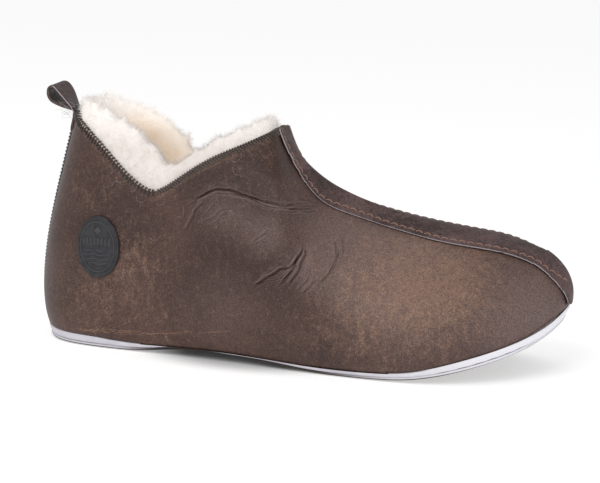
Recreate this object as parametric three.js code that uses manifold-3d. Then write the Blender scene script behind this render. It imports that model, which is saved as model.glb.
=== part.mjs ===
// A right-foot ankle slipper: leather upper, deep fleece lining, thin foam sole.
// Millimetres. X runs from heel to toe, Y to the inner side of the foot, Z up from the floor.
import * as THREE from "three";
import Module from "manifold-3d";

const wasm = await Module();
wasm.setup();

// The sizes everything else is a share of.
const LENGTH = 284;
const BALL = 98;
const INSTEP = 120;
const TOE_SPRING = 32.5;
const FOAM = 4.3;

const WALL = 2;
const GAP = 0.3;
const OUTSOLE = 1.2;
const INSOLE = 5.2;
const HEEL_LEAN = 2.3;
const LOOP_EYE = 4.6;
const LOOP_WIDTH = 19;
const LOOP_BEND = 3.07;
const BADGE_WIDTH = 23.8;
const BADGE_HEIGHT = 32.4;

// The last, one row per rib. Each rib climbs from the foot line to the top line.
// Ahead of the throat the top line is the ridge of the instep and toe.
// Behind it the top line stands above the collar, which cuts the ribs short.
const RIBS = table(
  "u footX out in topX spread swing topZ fan rise tilt peak flare footReach outReach inReach",
  [1, LENGTH, BALL, BALL, LENGTH, BALL, BALL, INSTEP, 1, 1, 1, 1, 1, 1, 1, 1],
  [
    [0, 0.0144, 0, 0, 0.0599, 0, 0, 1.15, 90, 99, 0, 0, 23, 0.21, 0.33, 0.33],
    [0.05, 0.0243, 0.1378, 0.1378, 0.0687, 0.1071, 0, 1.15, 90, 98, 0, 0, 23, 0.22, 0.33, 0.33],
    [0.1, 0.0521, 0.2449, 0.2398, 0.0915, 0.2092, 0, 1.1458, 90, 95, 0, 0, 20, 0.24, 0.33, 0.33],
    [0.15, 0.0951, 0.3061, 0.301, 0.1303, 0.2755, 0, 1.1333, 90, 92, 0, 0, 17, 0.27, 0.33, 0.33],
    [0.22, 0.169, 0.3418, 0.3265, 0.1866, 0.3143, 0, 1.1083, 90, 90, 0, 0, 13, 0.3, 0.33, 0.33],
    [0.3, 0.257, 0.3571, 0.3163, 0.2676, 0.3163, 0, 1.0833, 88, 90, 0, 0, 12, 0.33, 0.33, 0.33],
    [0.38, 0.3486, 0.3827, 0.3112, 0.3451, 0.2755, 0, 1.0667, 78, 88, 0, 0, 12, 0.36, 0.34, 0.34],
    [0.42, 0.3951, 0.402, 0.3255, 0.3838, 0.2092, 0, 1.0667, 67, 82, 0, 0, 13, 0.38, 0.35, 0.35],
    [0.45, 0.4296, 0.4184, 0.3418, 0.4085, 0.1429, 0, 1.0683, 58, 76, 0, 0, 14, 0.39, 0.36, 0.36],
    [0.47, 0.4525, 0.4286, 0.3551, 0.4218, 0.0918, 0, 1.0692, 51, 72, 0, 0, 15, 0.4, 0.36, 0.36],
    [0.485, 0.4694, 0.4367, 0.3653, 0.4296, 0.051, 0, 1.0692, 45, 69, 0, 0, 16, 0.41, 0.37, 0.37],
    [0.498, 0.4838, 0.4439, 0.3765, 0.4345, 0.0184, 0, 1.0667, 41, 66, 0, 0, 16.5, 0.41, 0.37, 0.37],
    [0.515, 0.5035, 0.452, 0.3908, 0.4394, 0, 0, 1.0517, 37, 62, 0, 0, 17, 0.42, 0.37, 0.37],
    [0.54, 0.5317, 0.4643, 0.4133, 0.45, 0, 0, 0.9917, 30, 58, 0, 5, 18, 0.42, 0.36, 0.36],
    [0.575, 0.5722, 0.4796, 0.4408, 0.4718, 0, 0, 0.905, 15, 52, 2, 22, 19, 0.43, 0.32, 0.32],
    [0.61, 0.6127, 0.4929, 0.4643, 0.5014, 0, 0, 0.8333, 4, 42, 6, 38, 20, 0.45, 0.28, 0.28],
    [0.67, 0.6831, 0.5061, 0.4898, 0.5739, 0, 0, 0.7233, 0, 24, 14, 36, 22, 0.46, 0.26, 0.24],
    [0.73, 0.7535, 0.4959, 0.502, 0.662, 0, 0.0061, 0.6525, 0, 15, 20, 20, 23, 0.46, 0.32, 0.22],
    [0.79, 0.8187, 0.4469, 0.4918, 0.7465, 0, 0.0204, 0.605, 0, 12, 22, 9, 22, 0.46, 0.36, 0.24],
    [0.84, 0.8683, 0.3724, 0.4622, 0.8116, 0, 0.0408, 0.58, 4, 10, 20, 3, 20, 0.44, 0.39, 0.28],
    [0.89, 0.9134, 0.2653, 0.4031, 0.8644, 0, 0.0612, 0.5642, 15, 13, 15, 0, 18, 0.4, 0.41, 0.34],
    [0.93, 0.9479, 0.1633, 0.3316, 0.9032, 0, 0.0755, 0.5442, 34, 18, 5, 0, 17, 0.38, 0.42, 0.38],
    [0.965, 0.9761, 0.0561, 0.2449, 0.9296, 0, 0.0857, 0.5275, 60, 24, 2, 0, 16, 0.36, 0.41, 0.4],
    [1, 0.9926, -0.0918, 0.0918, 0.9479, 0, 0.0918, 0.5167, 90, 30, 0, 0, 15, 0.34, 0.4, 0.4],
  ],
);

// The side view of the collar edge, from the heel down into the notch and up to the throat.
const COLLAR = table(
  "x z",
  [LENGTH, INSTEP],
  [
    [0.0282, 1.0458],
    [0.0458, 1.025],
    [0.0775, 0.9775],
    [0.1056, 0.9383],
    [0.1444, 0.8733],
    [0.1796, 0.8017],
    [0.2113, 0.745],
    [0.2324, 0.7183],
    [0.2482, 0.7125],
    [0.2641, 0.73],
    [0.2817, 0.7617],
    [0.3028, 0.8],
    [0.331, 0.8492],
    [0.3556, 0.8833],
    [0.3908, 0.9217],
    [0.4173, 0.9525],
    [0.45, 0.9917],
    [0.493, 1.0417],
  ],
);

// The side view of the fleece where it stands out of the collar.
const FLEECE = table(
  "x z",
  [LENGTH, INSTEP],
  [
    [0.0282, 1.0625],
    [0.0528, 1.0625],
    [0.088, 1.0583],
    [0.1162, 1.0417],
    [0.1514, 1.0125],
    [0.1796, 0.9875],
    [0.2077, 0.9542],
    [0.2324, 0.9083],
    [0.25, 0.8542],
    [0.2658, 0.8167],
    [0.2817, 0.8283],
    [0.3028, 0.8633],
    [0.331, 0.9117],
    [0.3556, 0.9483],
    [0.3908, 0.9917],
    [0.4173, 1.0217],
    [0.4366, 1.0417],
    [0.4577, 1.0625],
  ],
);

// The underside of the sole and the height of its foam edge.
const SOLE = table(
  "x bottom foam",
  [LENGTH, TOE_SPRING, FOAM],
  [
    [0.007, 0.0585, 0.9767],
    [0.0423, 0.0154, 1],
    [0.088, 0, 1],
    [0.1585, 0, 0.9302],
    [0.2113, 0, 0.7442],
    [0.2817, 0.0338, 0.5349],
    [0.3451, 0.0554, 0.4651],
    [0.4155, 0.0554, 0.4651],
    [0.4859, 0.0277, 0.4884],
    [0.5458, 0, 0.5349],
    [0.6866, 0, 0.6047],
    [0.7218, 0.0246, 0.6512],
    [0.757, 0.0646, 0.7442],
    [0.7923, 0.1262, 0.8837],
    [0.8275, 0.2062, 0.9767],
    [0.8627, 0.2954, 1],
    [0.8979, 0.3969, 1],
    [0.9331, 0.5231, 1],
    [0.9613, 0.6615, 1.0233],
    [0.9824, 0.8185, 1.0465],
    [0.9965, 1, 1.0698],
  ],
);

// The plan of the strip over the instep and toe, from its centre line.
const STRIP = table(
  "x middle out in",
  [LENGTH, BALL, BALL, BALL],
  [
    [0.3944, 0, 0.0969, 0.102],
    [0.4535, 0, 0.0959, 0.1071],
    [0.4754, 0, 0.0837, 0.102],
    [0.493, 0, 0.0878, 0.0969],
    [0.5176, 0, 0.1061, 0.1061],
    [0.5398, 0, 0.1245, 0.1143],
    [0.5613, 0, 0.1102, 0.1061],
    [0.5866, 0, 0.0918, 0.0969],
    [0.6261, 0, 0.0837, 0.0969],
    [0.6606, 0, 0.0878, 0.102],
    [0.6989, 0.0031, 0.0899, 0.1071],
    [0.7289, 0.0092, 0.0979, 0.1122],
    [0.7676, 0.0163, 0.1073, 0.1184],
    [0.8049, 0.0286, 0.1104, 0.1224],
    [0.8415, 0.0398, 0.1125, 0.1245],
    [0.875, 0.052, 0.1187, 0.1265],
    [0.9049, 0.0633, 0.1289, 0.1286],
    [0.9331, 0.0745, 0.1329, 0.1306],
    [0.9577, 0.0837, 0.1408, 0.1327],
    [0.9768, 0.0898, 0.1224, 0.1367],
    [0.9873, 0.0939, 0.098, 0.1429],
    [0.9965, 0.098, 0.0561, 0.1531],
    [1.0563, 0.102, 0.051, 0.1633],
  ],
);

const rad = THREE.MathUtils.degToRad;
const vec = (x, y, z) => new THREE.Vector3(x, y, z);

// A table's columns by name, each share multiplied by the size it is a share of.
function table(names, sizes, rows) {
  const columns = {};
  names.split(" ").forEach((name, k) => {
    columns[name] = rows.map((row) => row[k] * sizes[k]);
  });
  return columns;
}

function within(xs, x) {
  let k = 0;
  while (k < xs.length - 2 && x > xs[k + 1]) k += 1;
  return k;
}

function hermite(xs, ys, slopes, x) {
  const k = within(xs, x);
  const h = xs[k + 1] - xs[k];
  const t = (Math.min(Math.max(x, xs[0]), xs[xs.length - 1]) - xs[k]) / h;
  const a = ys[k] * (1 + 2 * t) * (1 - t) ** 2;
  const b = slopes[k] * h * t * (1 - t) ** 2;
  const c = ys[k + 1] * t * t * (3 - 2 * t);
  const d = slopes[k + 1] * h * t * t * (t - 1);
  return a + b + c + d;
}

// A curve through the rows that never overshoots them.
function steady(xs, ys) {
  const n = xs.length;
  const steps = [];
  for (let k = 0; k < n - 1; k += 1) steps.push((ys[k + 1] - ys[k]) / (xs[k + 1] - xs[k]));
  const slopes = ys.map((_, k) => {
    if (k === 0) return steps[0];
    if (k === n - 1) return steps[n - 2];
    if (steps[k - 1] * steps[k] <= 0) return 0;
    const before = xs[k] - xs[k - 1];
    const after = xs[k + 1] - xs[k];
    const w1 = 2 * after + before;
    const w2 = after + 2 * before;
    return (w1 + w2) / (w1 / steps[k - 1] + w2 / steps[k]);
  });
  return (x) => hermite(xs, ys, slopes, x);
}

// A smooth curve through the rows, with its end slopes given where they matter.
function smooth(xs, ys, first = null, last = null) {
  const n = xs.length;
  const low = new Array(n).fill(0);
  const mid = new Array(n).fill(1);
  const top = new Array(n).fill(0);
  const right = new Array(n).fill(0);
  const h = xs.slice(1).map((x, k) => x - xs[k]);
  const step = h.map((d, k) => (ys[k + 1] - ys[k]) / d);
  for (let k = 1; k < n - 1; k += 1) {
    low[k] = h[k];
    mid[k] = 2 * (h[k - 1] + h[k]);
    top[k] = h[k - 1];
    right[k] = 3 * (h[k] * step[k - 1] + h[k - 1] * step[k]);
  }
  mid[0] = first === null ? 2 : 1;
  top[0] = first === null ? 1 : 0;
  right[0] = first === null ? 3 * step[0] : first;
  mid[n - 1] = last === null ? 2 : 1;
  low[n - 1] = last === null ? 1 : 0;
  right[n - 1] = last === null ? 3 * step[n - 2] : last;
  for (let k = 1; k < n; k += 1) {
    const w = low[k] / mid[k - 1];
    mid[k] -= w * top[k - 1];
    right[k] -= w * right[k - 1];
  }
  const slopes = new Array(n).fill(0);
  slopes[n - 1] = right[n - 1] / mid[n - 1];
  for (let k = n - 2; k >= 0; k -= 1) slopes[k] = (right[k] - top[k] * slopes[k + 1]) / mid[k];
  return (x) => hermite(xs, ys, slopes, x);
}

const R = {};
for (const name of ["out", "in", "swing"]) R[name] = smooth(RIBS.u, RIBS[name]);
R.footX = smooth(RIBS.u, RIBS.footX, 0, 0);
R.topX = smooth(RIBS.u, RIBS.topX, 0, null);
const STEADY = ["topZ", "spread", "fan", "rise", "tilt", "peak", "flare", "footReach", "outReach", "inReach"];
for (const name of STEADY) R[name] = steady(RIBS.u, RIBS[name]);
const collarAt = smooth(COLLAR.x, COLLAR.z);
const fleeceAt = smooth(FLEECE.x, FLEECE.z);
const bottomAt = smooth(SOLE.x, SOLE.bottom);
const foamAt = smooth(SOLE.x, SOLE.foam);
const floorOf = (x) => Math.max(bottomAt(x), 0);
const footZ = (x) => floorOf(x) + OUTSOLE + GAP + foamAt(x) + GAP + 0.1;
const insoleTop = (x) => footZ(x) + INSOLE;

// The foot line in plan. Past either end it carries on along the other side.
function footLine(side, u) {
  if (u < 0) return footLine(-side, -u);
  if (u > 1) return footLine(-side, 2 - u);
  return [R.footX(u), side < 0 ? -R.out(u) : R.in(u)];
}

function outwardAt(side, u) {
  const e = 1e-3;
  const a = footLine(side, u - e);
  const b = footLine(side, u + e);
  const t = new THREE.Vector2(b[0] - a[0], b[1] - a[1]).normalize();
  return side < 0 ? [t.y, -t.x] : [-t.y, t.x];
}

const ribs = new Map();
function rib(side, u) {
  const key = side + ":" + u.toFixed(7);
  if (ribs.has(key)) return ribs.get(key);
  const [x, y] = footLine(side, u);
  const [ox, oy] = outwardAt(side, u);
  const foot = vec(x, y, footZ(x));
  const top = vec(R.topX(u), side * R.spread(u) + R.swing(u), R.topZ(u));
  const span = foot.distanceTo(top);
  const flare = rad(R.flare(u));
  const fan = rad(R.fan(u));
  const rise = rad(R.rise(u));
  const climb = rad(R.peak(u) - side * R.tilt(u));
  const leave = vec(ox * Math.sin(flare), oy * Math.sin(flare), Math.cos(flare));
  const back = vec(-Math.cos(rise), 0, Math.sin(rise));
  const inward = vec(0, -side * Math.cos(climb), Math.sin(climb));
  const arrive = inward.multiplyScalar(Math.cos(fan)).add(back.multiplyScalar(Math.sin(fan)));
  const points = [
    foot,
    foot.clone().addScaledVector(leave, R.footReach(u) * span),
    top.clone().addScaledVector(arrive.normalize(), -(side < 0 ? R.outReach(u) : R.inReach(u)) * span),
    top,
  ];
  ribs.set(key, points);
  return points;
}

// A point of the last, v from the foot line to the top line.
function last(side, u, v) {
  if (u < 0) return last(-side, -u, v);
  if (u > 1) return last(-side, 2 - u, v);
  const [a, b, c, d] = rib(side, u);
  const w = 1 - v;
  return vec(0, 0, 0)
    .addScaledVector(a, w * w * w)
    .addScaledVector(b, 3 * w * w * v)
    .addScaledVector(c, 3 * w * v * v)
    .addScaledVector(d, v * v * v);
}

function normalOn(side, u, at) {
  const e = 2e-3;
  const v = u > 0.99 ? Math.min(at, 0.97) : at;
  const lo = Math.max(v - e, 0);
  const hi = Math.min(v + e, 1);
  const along = last(side, u + e, v).sub(last(side, u - e, v));
  const up = last(side, u, hi).sub(last(side, u, lo));
  return (side < 0 ? along.cross(up) : up.cross(along)).normalize();
}

function normal(side, u, v) {
  const n = normalOn(side, u, v);
  if (u === 0 || u === 1 || (v > 1 - 1e-9 && R.spread(u) < 1e-9)) n.add(normalOn(-side, u, v));
  return n.normalize();
}

// Where a rib meets the collar edge or the edge of the fleece.
function throatOf(edge) {
  let lo = 0.5;
  let hi = 0.56;
  for (let k = 0; k < 50; k += 1) {
    const u = (lo + hi) / 2;
    const over = R.topZ(u) - edge(R.topX(u));
    if (over > 0) lo = u;
    else hi = u;
  }
  return (lo + hi) / 2;
}

function ribEnd(side, u, edge, throat) {
  if (u >= throat - 1e-9) return 1;
  const over = (v) => {
    const p = last(side, u, v);
    return p.z - edge(p.x);
  };
  let lo = 0.3;
  while (lo < 1 && over(lo + 0.01) < 0) lo += 0.01;
  let hi = Math.min(lo + 0.01, 1);
  for (let k = 0; k < 40; k += 1) {
    const v = (lo + hi) / 2;
    if (over(v) < 0) lo = v;
    else hi = v;
  }
  return (lo + hi) / 2;
}

// One closed wall between two offsets of the last, open below and at the collar.
// With no seat it also has a cut end at its first column.
function wallOf({ columns, rows, from, to, throat, outer, inner, seat = null }) {
  const position = [];
  const index = [];
  const known = new Map();
  const end = columns.length - 1;
  const tip = rows.length - 1;
  const ridge = columns.findIndex((u) => u >= throat - 1e-9);
  const at = (layer, side, i, j) => {
    const shared = (i === 0 && seat !== null) || i === end || (j === tip && i >= ridge);
    const s = shared ? 1 : side;
    const key = [layer, s, i, j].join();
    if (known.has(key)) return known.get(key);
    const u = columns[i];
    const low = from(s, u);
    const v = low + (to(s, u) - low) * rows[j];
    const n = normal(s, u, v);
    const depth = layer ? inner(s, u, rows[j]) : outer(s, u, rows[j]);
    const p = last(s, u, v).addScaledVector(n, depth);
    if (j === 0 && seat !== null) p.z = seat(Math.min(p.x, R.footX(u)));
    known.set(key, position.length / 3);
    position.push(p.x, p.y, p.z);
    return known.get(key);
  };
  const quad = (a, b, c, d, flip) => {
    if (flip) index.push(a, d, c, a, c, b);
    else index.push(a, b, c, a, c, d);
  };
  for (const side of [-1, 1])
    for (let i = 0; i < end; i += 1) {
      for (let layer = 0; layer < 2; layer += 1)
        for (let j = 0; j < tip; j += 1)
          quad(
            at(layer, side, i, j),
            at(layer, side, i + 1, j),
            at(layer, side, i + 1, j + 1),
            at(layer, side, i, j + 1),
            (side > 0) !== (layer === 1),
          );
      quad(at(0, side, i + 1, 0), at(0, side, i, 0), at(1, side, i, 0), at(1, side, i + 1, 0), side > 0);
      if (i < ridge)
        quad(
          at(0, side, i, tip),
          at(0, side, i + 1, tip),
          at(1, side, i + 1, tip),
          at(1, side, i, tip),
          side > 0,
        );
    }
  if (seat === null)
    for (const side of [-1, 1])
      for (let j = 0; j < tip; j += 1)
        quad(at(0, side, 0, j), at(0, side, 0, j + 1), at(1, side, 0, j + 1), at(1, side, 0, j), side > 0);
  return meshOf(position, index);
}

function meshOf(position, index) {
  const g = new THREE.BufferGeometry();
  g.setAttribute("position", new THREE.BufferAttribute(new Float32Array(position), 3));
  g.setIndex(index);
  return g;
}

function solidOf(g) {
  return new wasm.Manifold(
    new wasm.Mesh({
      numProp: 3,
      vertProperties: g.getAttribute("position").array,
      triVerts: new Uint32Array(g.getIndex().array),
    }),
  );
}

function geometryOf(solid) {
  const m = solid.getMesh();
  const position = [];
  for (let k = 0; k < m.numVert; k += 1)
    for (let c = 0; c < 3; c += 1) position.push(m.vertProperties[k * m.numProp + c]);
  return meshOf(position, Array.from(m.triVerts));
}

// A closed loft through rings with the same number of points, with fans at both ends.
function loftOf(rings) {
  const n = rings[0].length;
  const position = rings.flat(2);
  const index = [];
  for (let k = 0; k < rings.length - 1; k += 1)
    for (let i = 0; i < n; i += 1) {
      const j = (i + 1) % n;
      const a = k * n;
      const b = a + n;
      index.push(a + i, a + j, b + j, a + i, b + j, b + i);
    }
  for (const [k, flip] of [
    [0, true],
    [rings.length - 1, false],
  ]) {
    const middle = position.length / 3;
    const c = [0, 0, 0];
    for (const p of rings[k]) p.forEach((value, axis) => (c[axis] += value / n));
    position.push(...c);
    for (let i = 0; i < n; i += 1) {
      const a = k * n + i;
      const b = k * n + ((i + 1) % n);
      if (flip) index.push(middle, b, a);
      else index.push(middle, a, b);
    }
  }
  return meshOf(position, index);
}

// A flat piece on the foot outline. Its side is a row of insets and shares of its height.
function slabOf({ margin, low, high, side }) {
  const rings = SLAB_STATIONS.map((u) => {
    const edge = (s, inset) => {
      const [x, y] = footLine(s, u);
      const [ox, oy] = outwardAt(s, u);
      const reach = margin(u) - inset;
      return [x + ox * reach, y + oy * reach];
    };
    const corner = (s, [inset, share]) => {
      const [x, y] = edge(s, inset);
      const at = Math.min(x, R.footX(u));
      return [x, y, low(at) + (high(at) - low(at)) * share];
    };
    return [...side.map((c) => corner(1, c)), ...side.map((c) => corner(-1, c)).reverse()];
  });
  return loftOf(rings);
}

const COLUMNS = [
  0, 0.004, 0.009, 0.015, 0.03, 0.048, 0.068, 0.09, 0.113, 0.138, 0.165, 0.195, 0.225, 0.252, 0.272,
  0.288, 0.306, 0.33, 0.36, 0.392, 0.422, 0.448, 0.47, 0.488, 0.502, 0.515, 0.527, 0.54, 0.558, 0.58,
  0.606, 0.634, 0.662, 0.692, 0.723, 0.754, 0.784, 0.812, 0.838, 0.863, 0.887, 0.91, 0.933, 0.956, 0.979, 1,
];
const SLAB_STATIONS = [
  0.015, 0.03, 0.048, 0.068, 0.09, 0.113, 0.138, 0.165, 0.195, 0.225, 0.272, 0.33, 0.392, 0.448, 0.502, 0.54,
  0.58, 0.634, 0.692, 0.723, 0.754, 0.784, 0.812, 0.838, 0.863, 0.887, 0.91, 0.933, 0.956, 0.979, 0.989,
];
const UPPER_ROWS = [0, 0.045, 0.11, 0.2, 0.3, 0.4, 0.5, 0.6, 0.7, 0.8, 0.88, 0.945, 1];
const THROAT = throatOf(collarAt);

// The back seam stands a little proud of the heel.
const seamAt = (side, u) => 1.3 * Math.exp(-((u / 0.0085) ** 4));

const collarEnd = (side, u) => ribEnd(side, u, collarAt, THROAT);
const upper = wallOf({
  columns: COLUMNS,
  rows: UPPER_ROWS,
  from: () => 0,
  to: collarEnd,
  throat: THROAT,
  outer: seamAt,
  inner: () => -WALL,
  seat: footZ,
});

// Numbers between -1 and 1 that look random but are the same every time.
function scatter(k, salt) {
  const value = Math.sin(k * 12.9898 + salt * 78.233) * 43758.5453;
  return 2 * (value - Math.floor(value)) - 1;
}

// The fleece is thick round the ankle and pressed thinner along the foot.
const fleeceDepth = steady([0, 0.44, 0.54, 0.61, 0.7, 1], [8.6, 8.6, 7.6, 5, 4.2, 4.2]);
const FLEECE_GAP = 0.8;
const FLEECE_THROAT = throatOf(fleeceAt);
const FLEECE_ROWS = [0, 0.2, 0.4, 0.58, 0.75, 0.89, 1];

function fleeceEnd(side, u) {
  const calm = Math.min(1, Math.abs(u - FLEECE_THROAT) / 0.05, u / 0.02);
  const wave = Math.sin(u * 120 + side * 0.9) + 0.6 * Math.sin(u * 211 - side * 1.7);
  return ribEnd(side, u, (x) => fleeceAt(x) + calm * wave * 0.8, FLEECE_THROAT);
}

function fleeceFoot(side, u) {
  let v = 0;
  for (; v < 0.4; v += 0.005) {
    const p = last(side, u, v);
    const n = normal(side, u, v);
    const skin = p.clone().addScaledVector(n, -WALL - FLEECE_GAP);
    const face = p.clone().addScaledVector(n, -WALL - FLEECE_GAP - fleeceDepth(u));
    if (Math.min(skin.z - insoleTop(skin.x), face.z - insoleTop(face.x)) > 0.4) break;
  }
  return v;
}

const fleeceTuft = (side, u, row) =>
  row < 0.2 ? 0 : 0.45 * Math.sin(u * 150 + row * 9 + side) * Math.sin(row * 23 + u * 60);

const fleece = wallOf({
  columns: COLUMNS.filter((u, k) => u === 0 || (u > 0.02 && Math.abs(u - FLEECE_THROAT) > 0.006))
    .filter((u, k, all) => u < 0.8 || (all.length - 1 - k) % 2 === 0)
    .concat(FLEECE_THROAT)
    .sort((a, b) => a - b),
  rows: FLEECE_ROWS,
  from: fleeceFoot,
  to: fleeceEnd,
  throat: FLEECE_THROAT,
  outer: () => -WALL - FLEECE_GAP,
  inner: (side, u, row) => -WALL - FLEECE_GAP - fleeceDepth(u) + fleeceTuft(side, u, row),
  seat: (x) => insoleTop(x) + 0.4,
});

// One bent, tapering lock of fleece with a round root.
function lockOf(root, aim, length, girth, bend) {
  const side = vec(0, 1, 0).cross(aim).normalize();
  const other = aim.clone().cross(side).normalize();
  const rings = [
    [-0.3, 0.6],
    [0.2, 1],
    [0.85, 0.4],
  ].map(([along, wide], k) => {
    const ring = [];
    for (let i = 0; i < 4; i += 1) {
      const a = (i / 4) * 2 * Math.PI + k * 0.5;
      const p = root
        .clone()
        .addScaledVector(aim, along * length)
        .addScaledVector(bend, along * along * length * 0.5)
        .addScaledVector(side, Math.cos(a) * girth * wide)
        .addScaledVector(other, Math.sin(a) * girth * wide);
      ring.push([p.x, p.y, p.z]);
    }
    return ring;
  });
  return loftOf(rings);
}

function locksOf() {
  const locks = [];
  const ring = [0, 0.04, 0.08, 0.12, 0.16, 0.2, 0.24, 0.275, 0.31, 0.35, 0.39, 0.43, 0.465, 0.495];
  let k = 0;
  for (const side of [-1, 1])
    for (const u of ring) {
      if (u === 0 && side > 0) continue;
      for (const deep of [0, 1]) {
        k += 1;
        if (deep && k % 4 === 0) continue;
        const v = ribEnd(side, u, (x) => fleeceAt(x) - 1.6 - deep * 1.2, FLEECE_THROAT);
        const n = normal(side, u, Math.min(v, 0.98));
        const root = last(side, u, v).addScaledVector(n, deep ? -8.6 : -5.2);
        const aim = vec(scatter(k, 1) * 0.5, scatter(k, 2) * 0.5, 1)
          .addScaledVector(n, deep ? -0.45 : 0.15)
          .normalize();
        const bend = vec(scatter(k, 3), scatter(k, 4), -0.2).multiplyScalar(0.8);
        locks.push(lockOf(root, aim, 6.2 + scatter(k, 5), 2.7 + 0.3 * scatter(k, 6), bend));
      }
    }
  return locks;
}

// Locks that miss the wall are dropped, so that the fleece stays one body.
const fleeceSolid = wasm.Manifold.union([solidOf(fleece), ...locksOf().map(solidOf)])
  .decompose()
  .reduce((a, b) => (a.volume() > b.volume() ? a : b));

// The strip lies on the upper between two lines in plan, and ends above the foam.
const stripMiddle = smooth(STRIP.x, STRIP.middle);
const stripHalf = { "-1": smooth(STRIP.x, STRIP.out), 1: smooth(STRIP.x, STRIP.in) };
const STRIP_ROWS = [0, 0.07, 0.2, 0.38, 0.58, 0.79, 1];
const STRIP_LIFT = 1;

function stripEnd(side, u) {
  const spare = (v) => {
    const p = last(side, u, v);
    const wide = stripHalf[side](p.x) - side * (p.y - stripMiddle(p.x));
    return Math.min(wide, 6 * (p.z - footZ(Math.min(p.x, R.footX(u))) - STRIP_LIFT));
  };
  let hi = collarEnd(side, u);
  while (hi > 0 && spare(hi - 0.01) > 0) hi -= 0.01;
  let lo = hi - 0.01;
  for (let k = 0; k < 40; k += 1) {
    const v = (lo + hi) / 2;
    if (spare(v) > 0) hi = v;
    else lo = v;
  }
  return Math.max(hi, 0);
}

// The first column is where the strip's wider side leaves the collar edge.
function stripStart() {
  const inside = (side, u) => stripEnd(side, u) < collarEnd(side, u) - 0.012;
  let u = THROAT;
  while (inside(-1, u - 5e-4) && inside(1, u - 5e-4)) u -= 5e-4;
  return u;
}

const STRIP_START = stripStart();
const stripRise = steady([0.5, 0.88, 0.93, 1], [0, 0, 0.35, 0.35]);
const strip = wallOf({
  columns: [STRIP_START, THROAT, 0.968, 0.99]
    .concat(COLUMNS.filter((u) => u > STRIP_START + 0.003 && Math.abs(u - THROAT) > 0.003))
    .sort((a, b) => a - b),
  rows: STRIP_ROWS,
  from: stripEnd,
  to: collarEnd,
  throat: THROAT,
  outer: (side, u) => GAP + 1.5 + stripRise(u),
  inner: (side, u) => GAP + 0.25 + stripRise(u),
});

// Where the side wall of the last passes through a point of the side view.
function onSide(side, x, z) {
  let u = 0.18;
  let v = 0.4;
  for (let k = 0; k < 40; k += 1) {
    const e = 1e-4;
    const p = last(side, u, v);
    const pu = last(side, u + e, v).sub(p).divideScalar(e);
    const pv = last(side, u, v + e).sub(p).divideScalar(e);
    const det = pu.x * pv.z - pv.x * pu.z;
    const du = ((x - p.x) * pv.z - (z - p.z) * pv.x) / det;
    const dv = ((z - p.z) * pu.x - (x - p.x) * pu.z) / det;
    u += Math.max(-0.05, Math.min(0.05, du));
    v += Math.max(-0.1, Math.min(0.1, dv));
  }
  return [u, v];
}

// The oval side patch follows the heel wall and has a raised rim.
function patchOf({ x, z, halfX, halfZ, lean }) {
  const sectors = 32;
  const profile = [
    [0, 0.3],
    [0.55, 0.3],
    [1, 0.3],
    [1, 1.35],
    [0.965, 1.75],
    [0.91, 1.75],
    [0.875, 1.3],
    [0.5, 1.3],
    [0, 1.3],
  ];
  const position = [];
  const index = [];
  const point = (r, a, h) => {
    const px = r * halfX * Math.cos(a);
    const pz = r * halfZ * Math.sin(a);
    const [u, v] = onSide(-1, x + px - pz * Math.sin(lean), z + pz + px * Math.sin(lean));
    const p = last(-1, u, v).addScaledVector(normal(-1, u, v), h);
    position.push(p.x, p.y, p.z);
    return position.length / 3 - 1;
  };
  const rings = profile.map(([r, h]) => {
    if (r === 0) return [point(0, 0, h)];
    return Array.from({ length: sectors }, (_, i) => point(r, (i / sectors) * 2 * Math.PI, h));
  });
  for (let k = 0; k < rings.length - 1; k += 1)
    for (let i = 0; i < sectors; i += 1) {
      const j = (i + 1) % sectors;
      const [a, b] = [rings[k], rings[k + 1]];
      if (a.length === 1) index.push(a[0], b[j], b[i]);
      else if (b.length === 1) index.push(b[0], a[i], a[j]);
      else index.push(a[i], a[j], b[j], a[i], b[j], b[i]);
    }
  return meshOf(position, index);
}

// The pull loop in side view: a round eye, a short leg on the collar edge and a tail down the heel.
// Its points are in eye radii from the back end of the collar edge.
function loopOf() {
  const at = ([x, z]) => new THREE.Vector2(COLLAR.x[0] + x * LOOP_EYE, COLLAR.z[0] + z * LOOP_EYE);
  const arc = (r, from, to, count) =>
    Array.from({ length: count }, (_, i) => {
      const a = rad(from + ((to - from) * i) / (count - 1));
      return at([-0.6106 + r * Math.cos(a), 1.1965 + r * Math.sin(a)]);
    });
  const outline = arc(1, 24, 236, 15).concat(
    [
      [0.3025, -0.6731],
      [0.4764, -1.1078],
      [0.4546, -1.847],
      [0.2155, -2.9774],
      [0.5416, -2.9774],
      [0.759, -1.847],
      [0.8894, -0.9339],
      [0.9981, -0.5861],
      [1.3894, -0.5643],
      [1.3677, -0.1513],
    ].map(at),
  );
  const shape = new THREE.Shape(outline);
  const hole = arc(0.6739, 24, 232, 12).concat([at([0.8459, -0.347])]);
  shape.holes.push(new THREE.Path(hole));
  const g = new THREE.ExtrudeGeometry(shape, { depth: LOOP_WIDTH, steps: 4, bevelEnabled: false });
  g.translate(0, 0, -LOOP_WIDTH / 2);
  g.rotateX(Math.PI / 2);
  const p = g.getAttribute("position");
  const bottom = at([0, -1.847]).y;
  const top = at([0, 0.1095]).y;
  for (let k = 0; k < p.count; k += 1) {
    const fade = 1 - THREE.MathUtils.smoothstep(p.getZ(k), bottom, top);
    const side = p.getY(k) / (LOOP_WIDTH / 2);
    p.setX(k, p.getX(k) + LOOP_BEND * side ** 2 * fade);
  }
  return g;
}

// The foam edge is flush at the heel and stands out a little under the toe.
const edgeOfSole = steady([0, 0.12, 0.4, 0.7, 0.85, 0.93, 1], [-0.3, -0.2, 0, 0.2, 0.7, 1.4, 1.6]);

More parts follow.
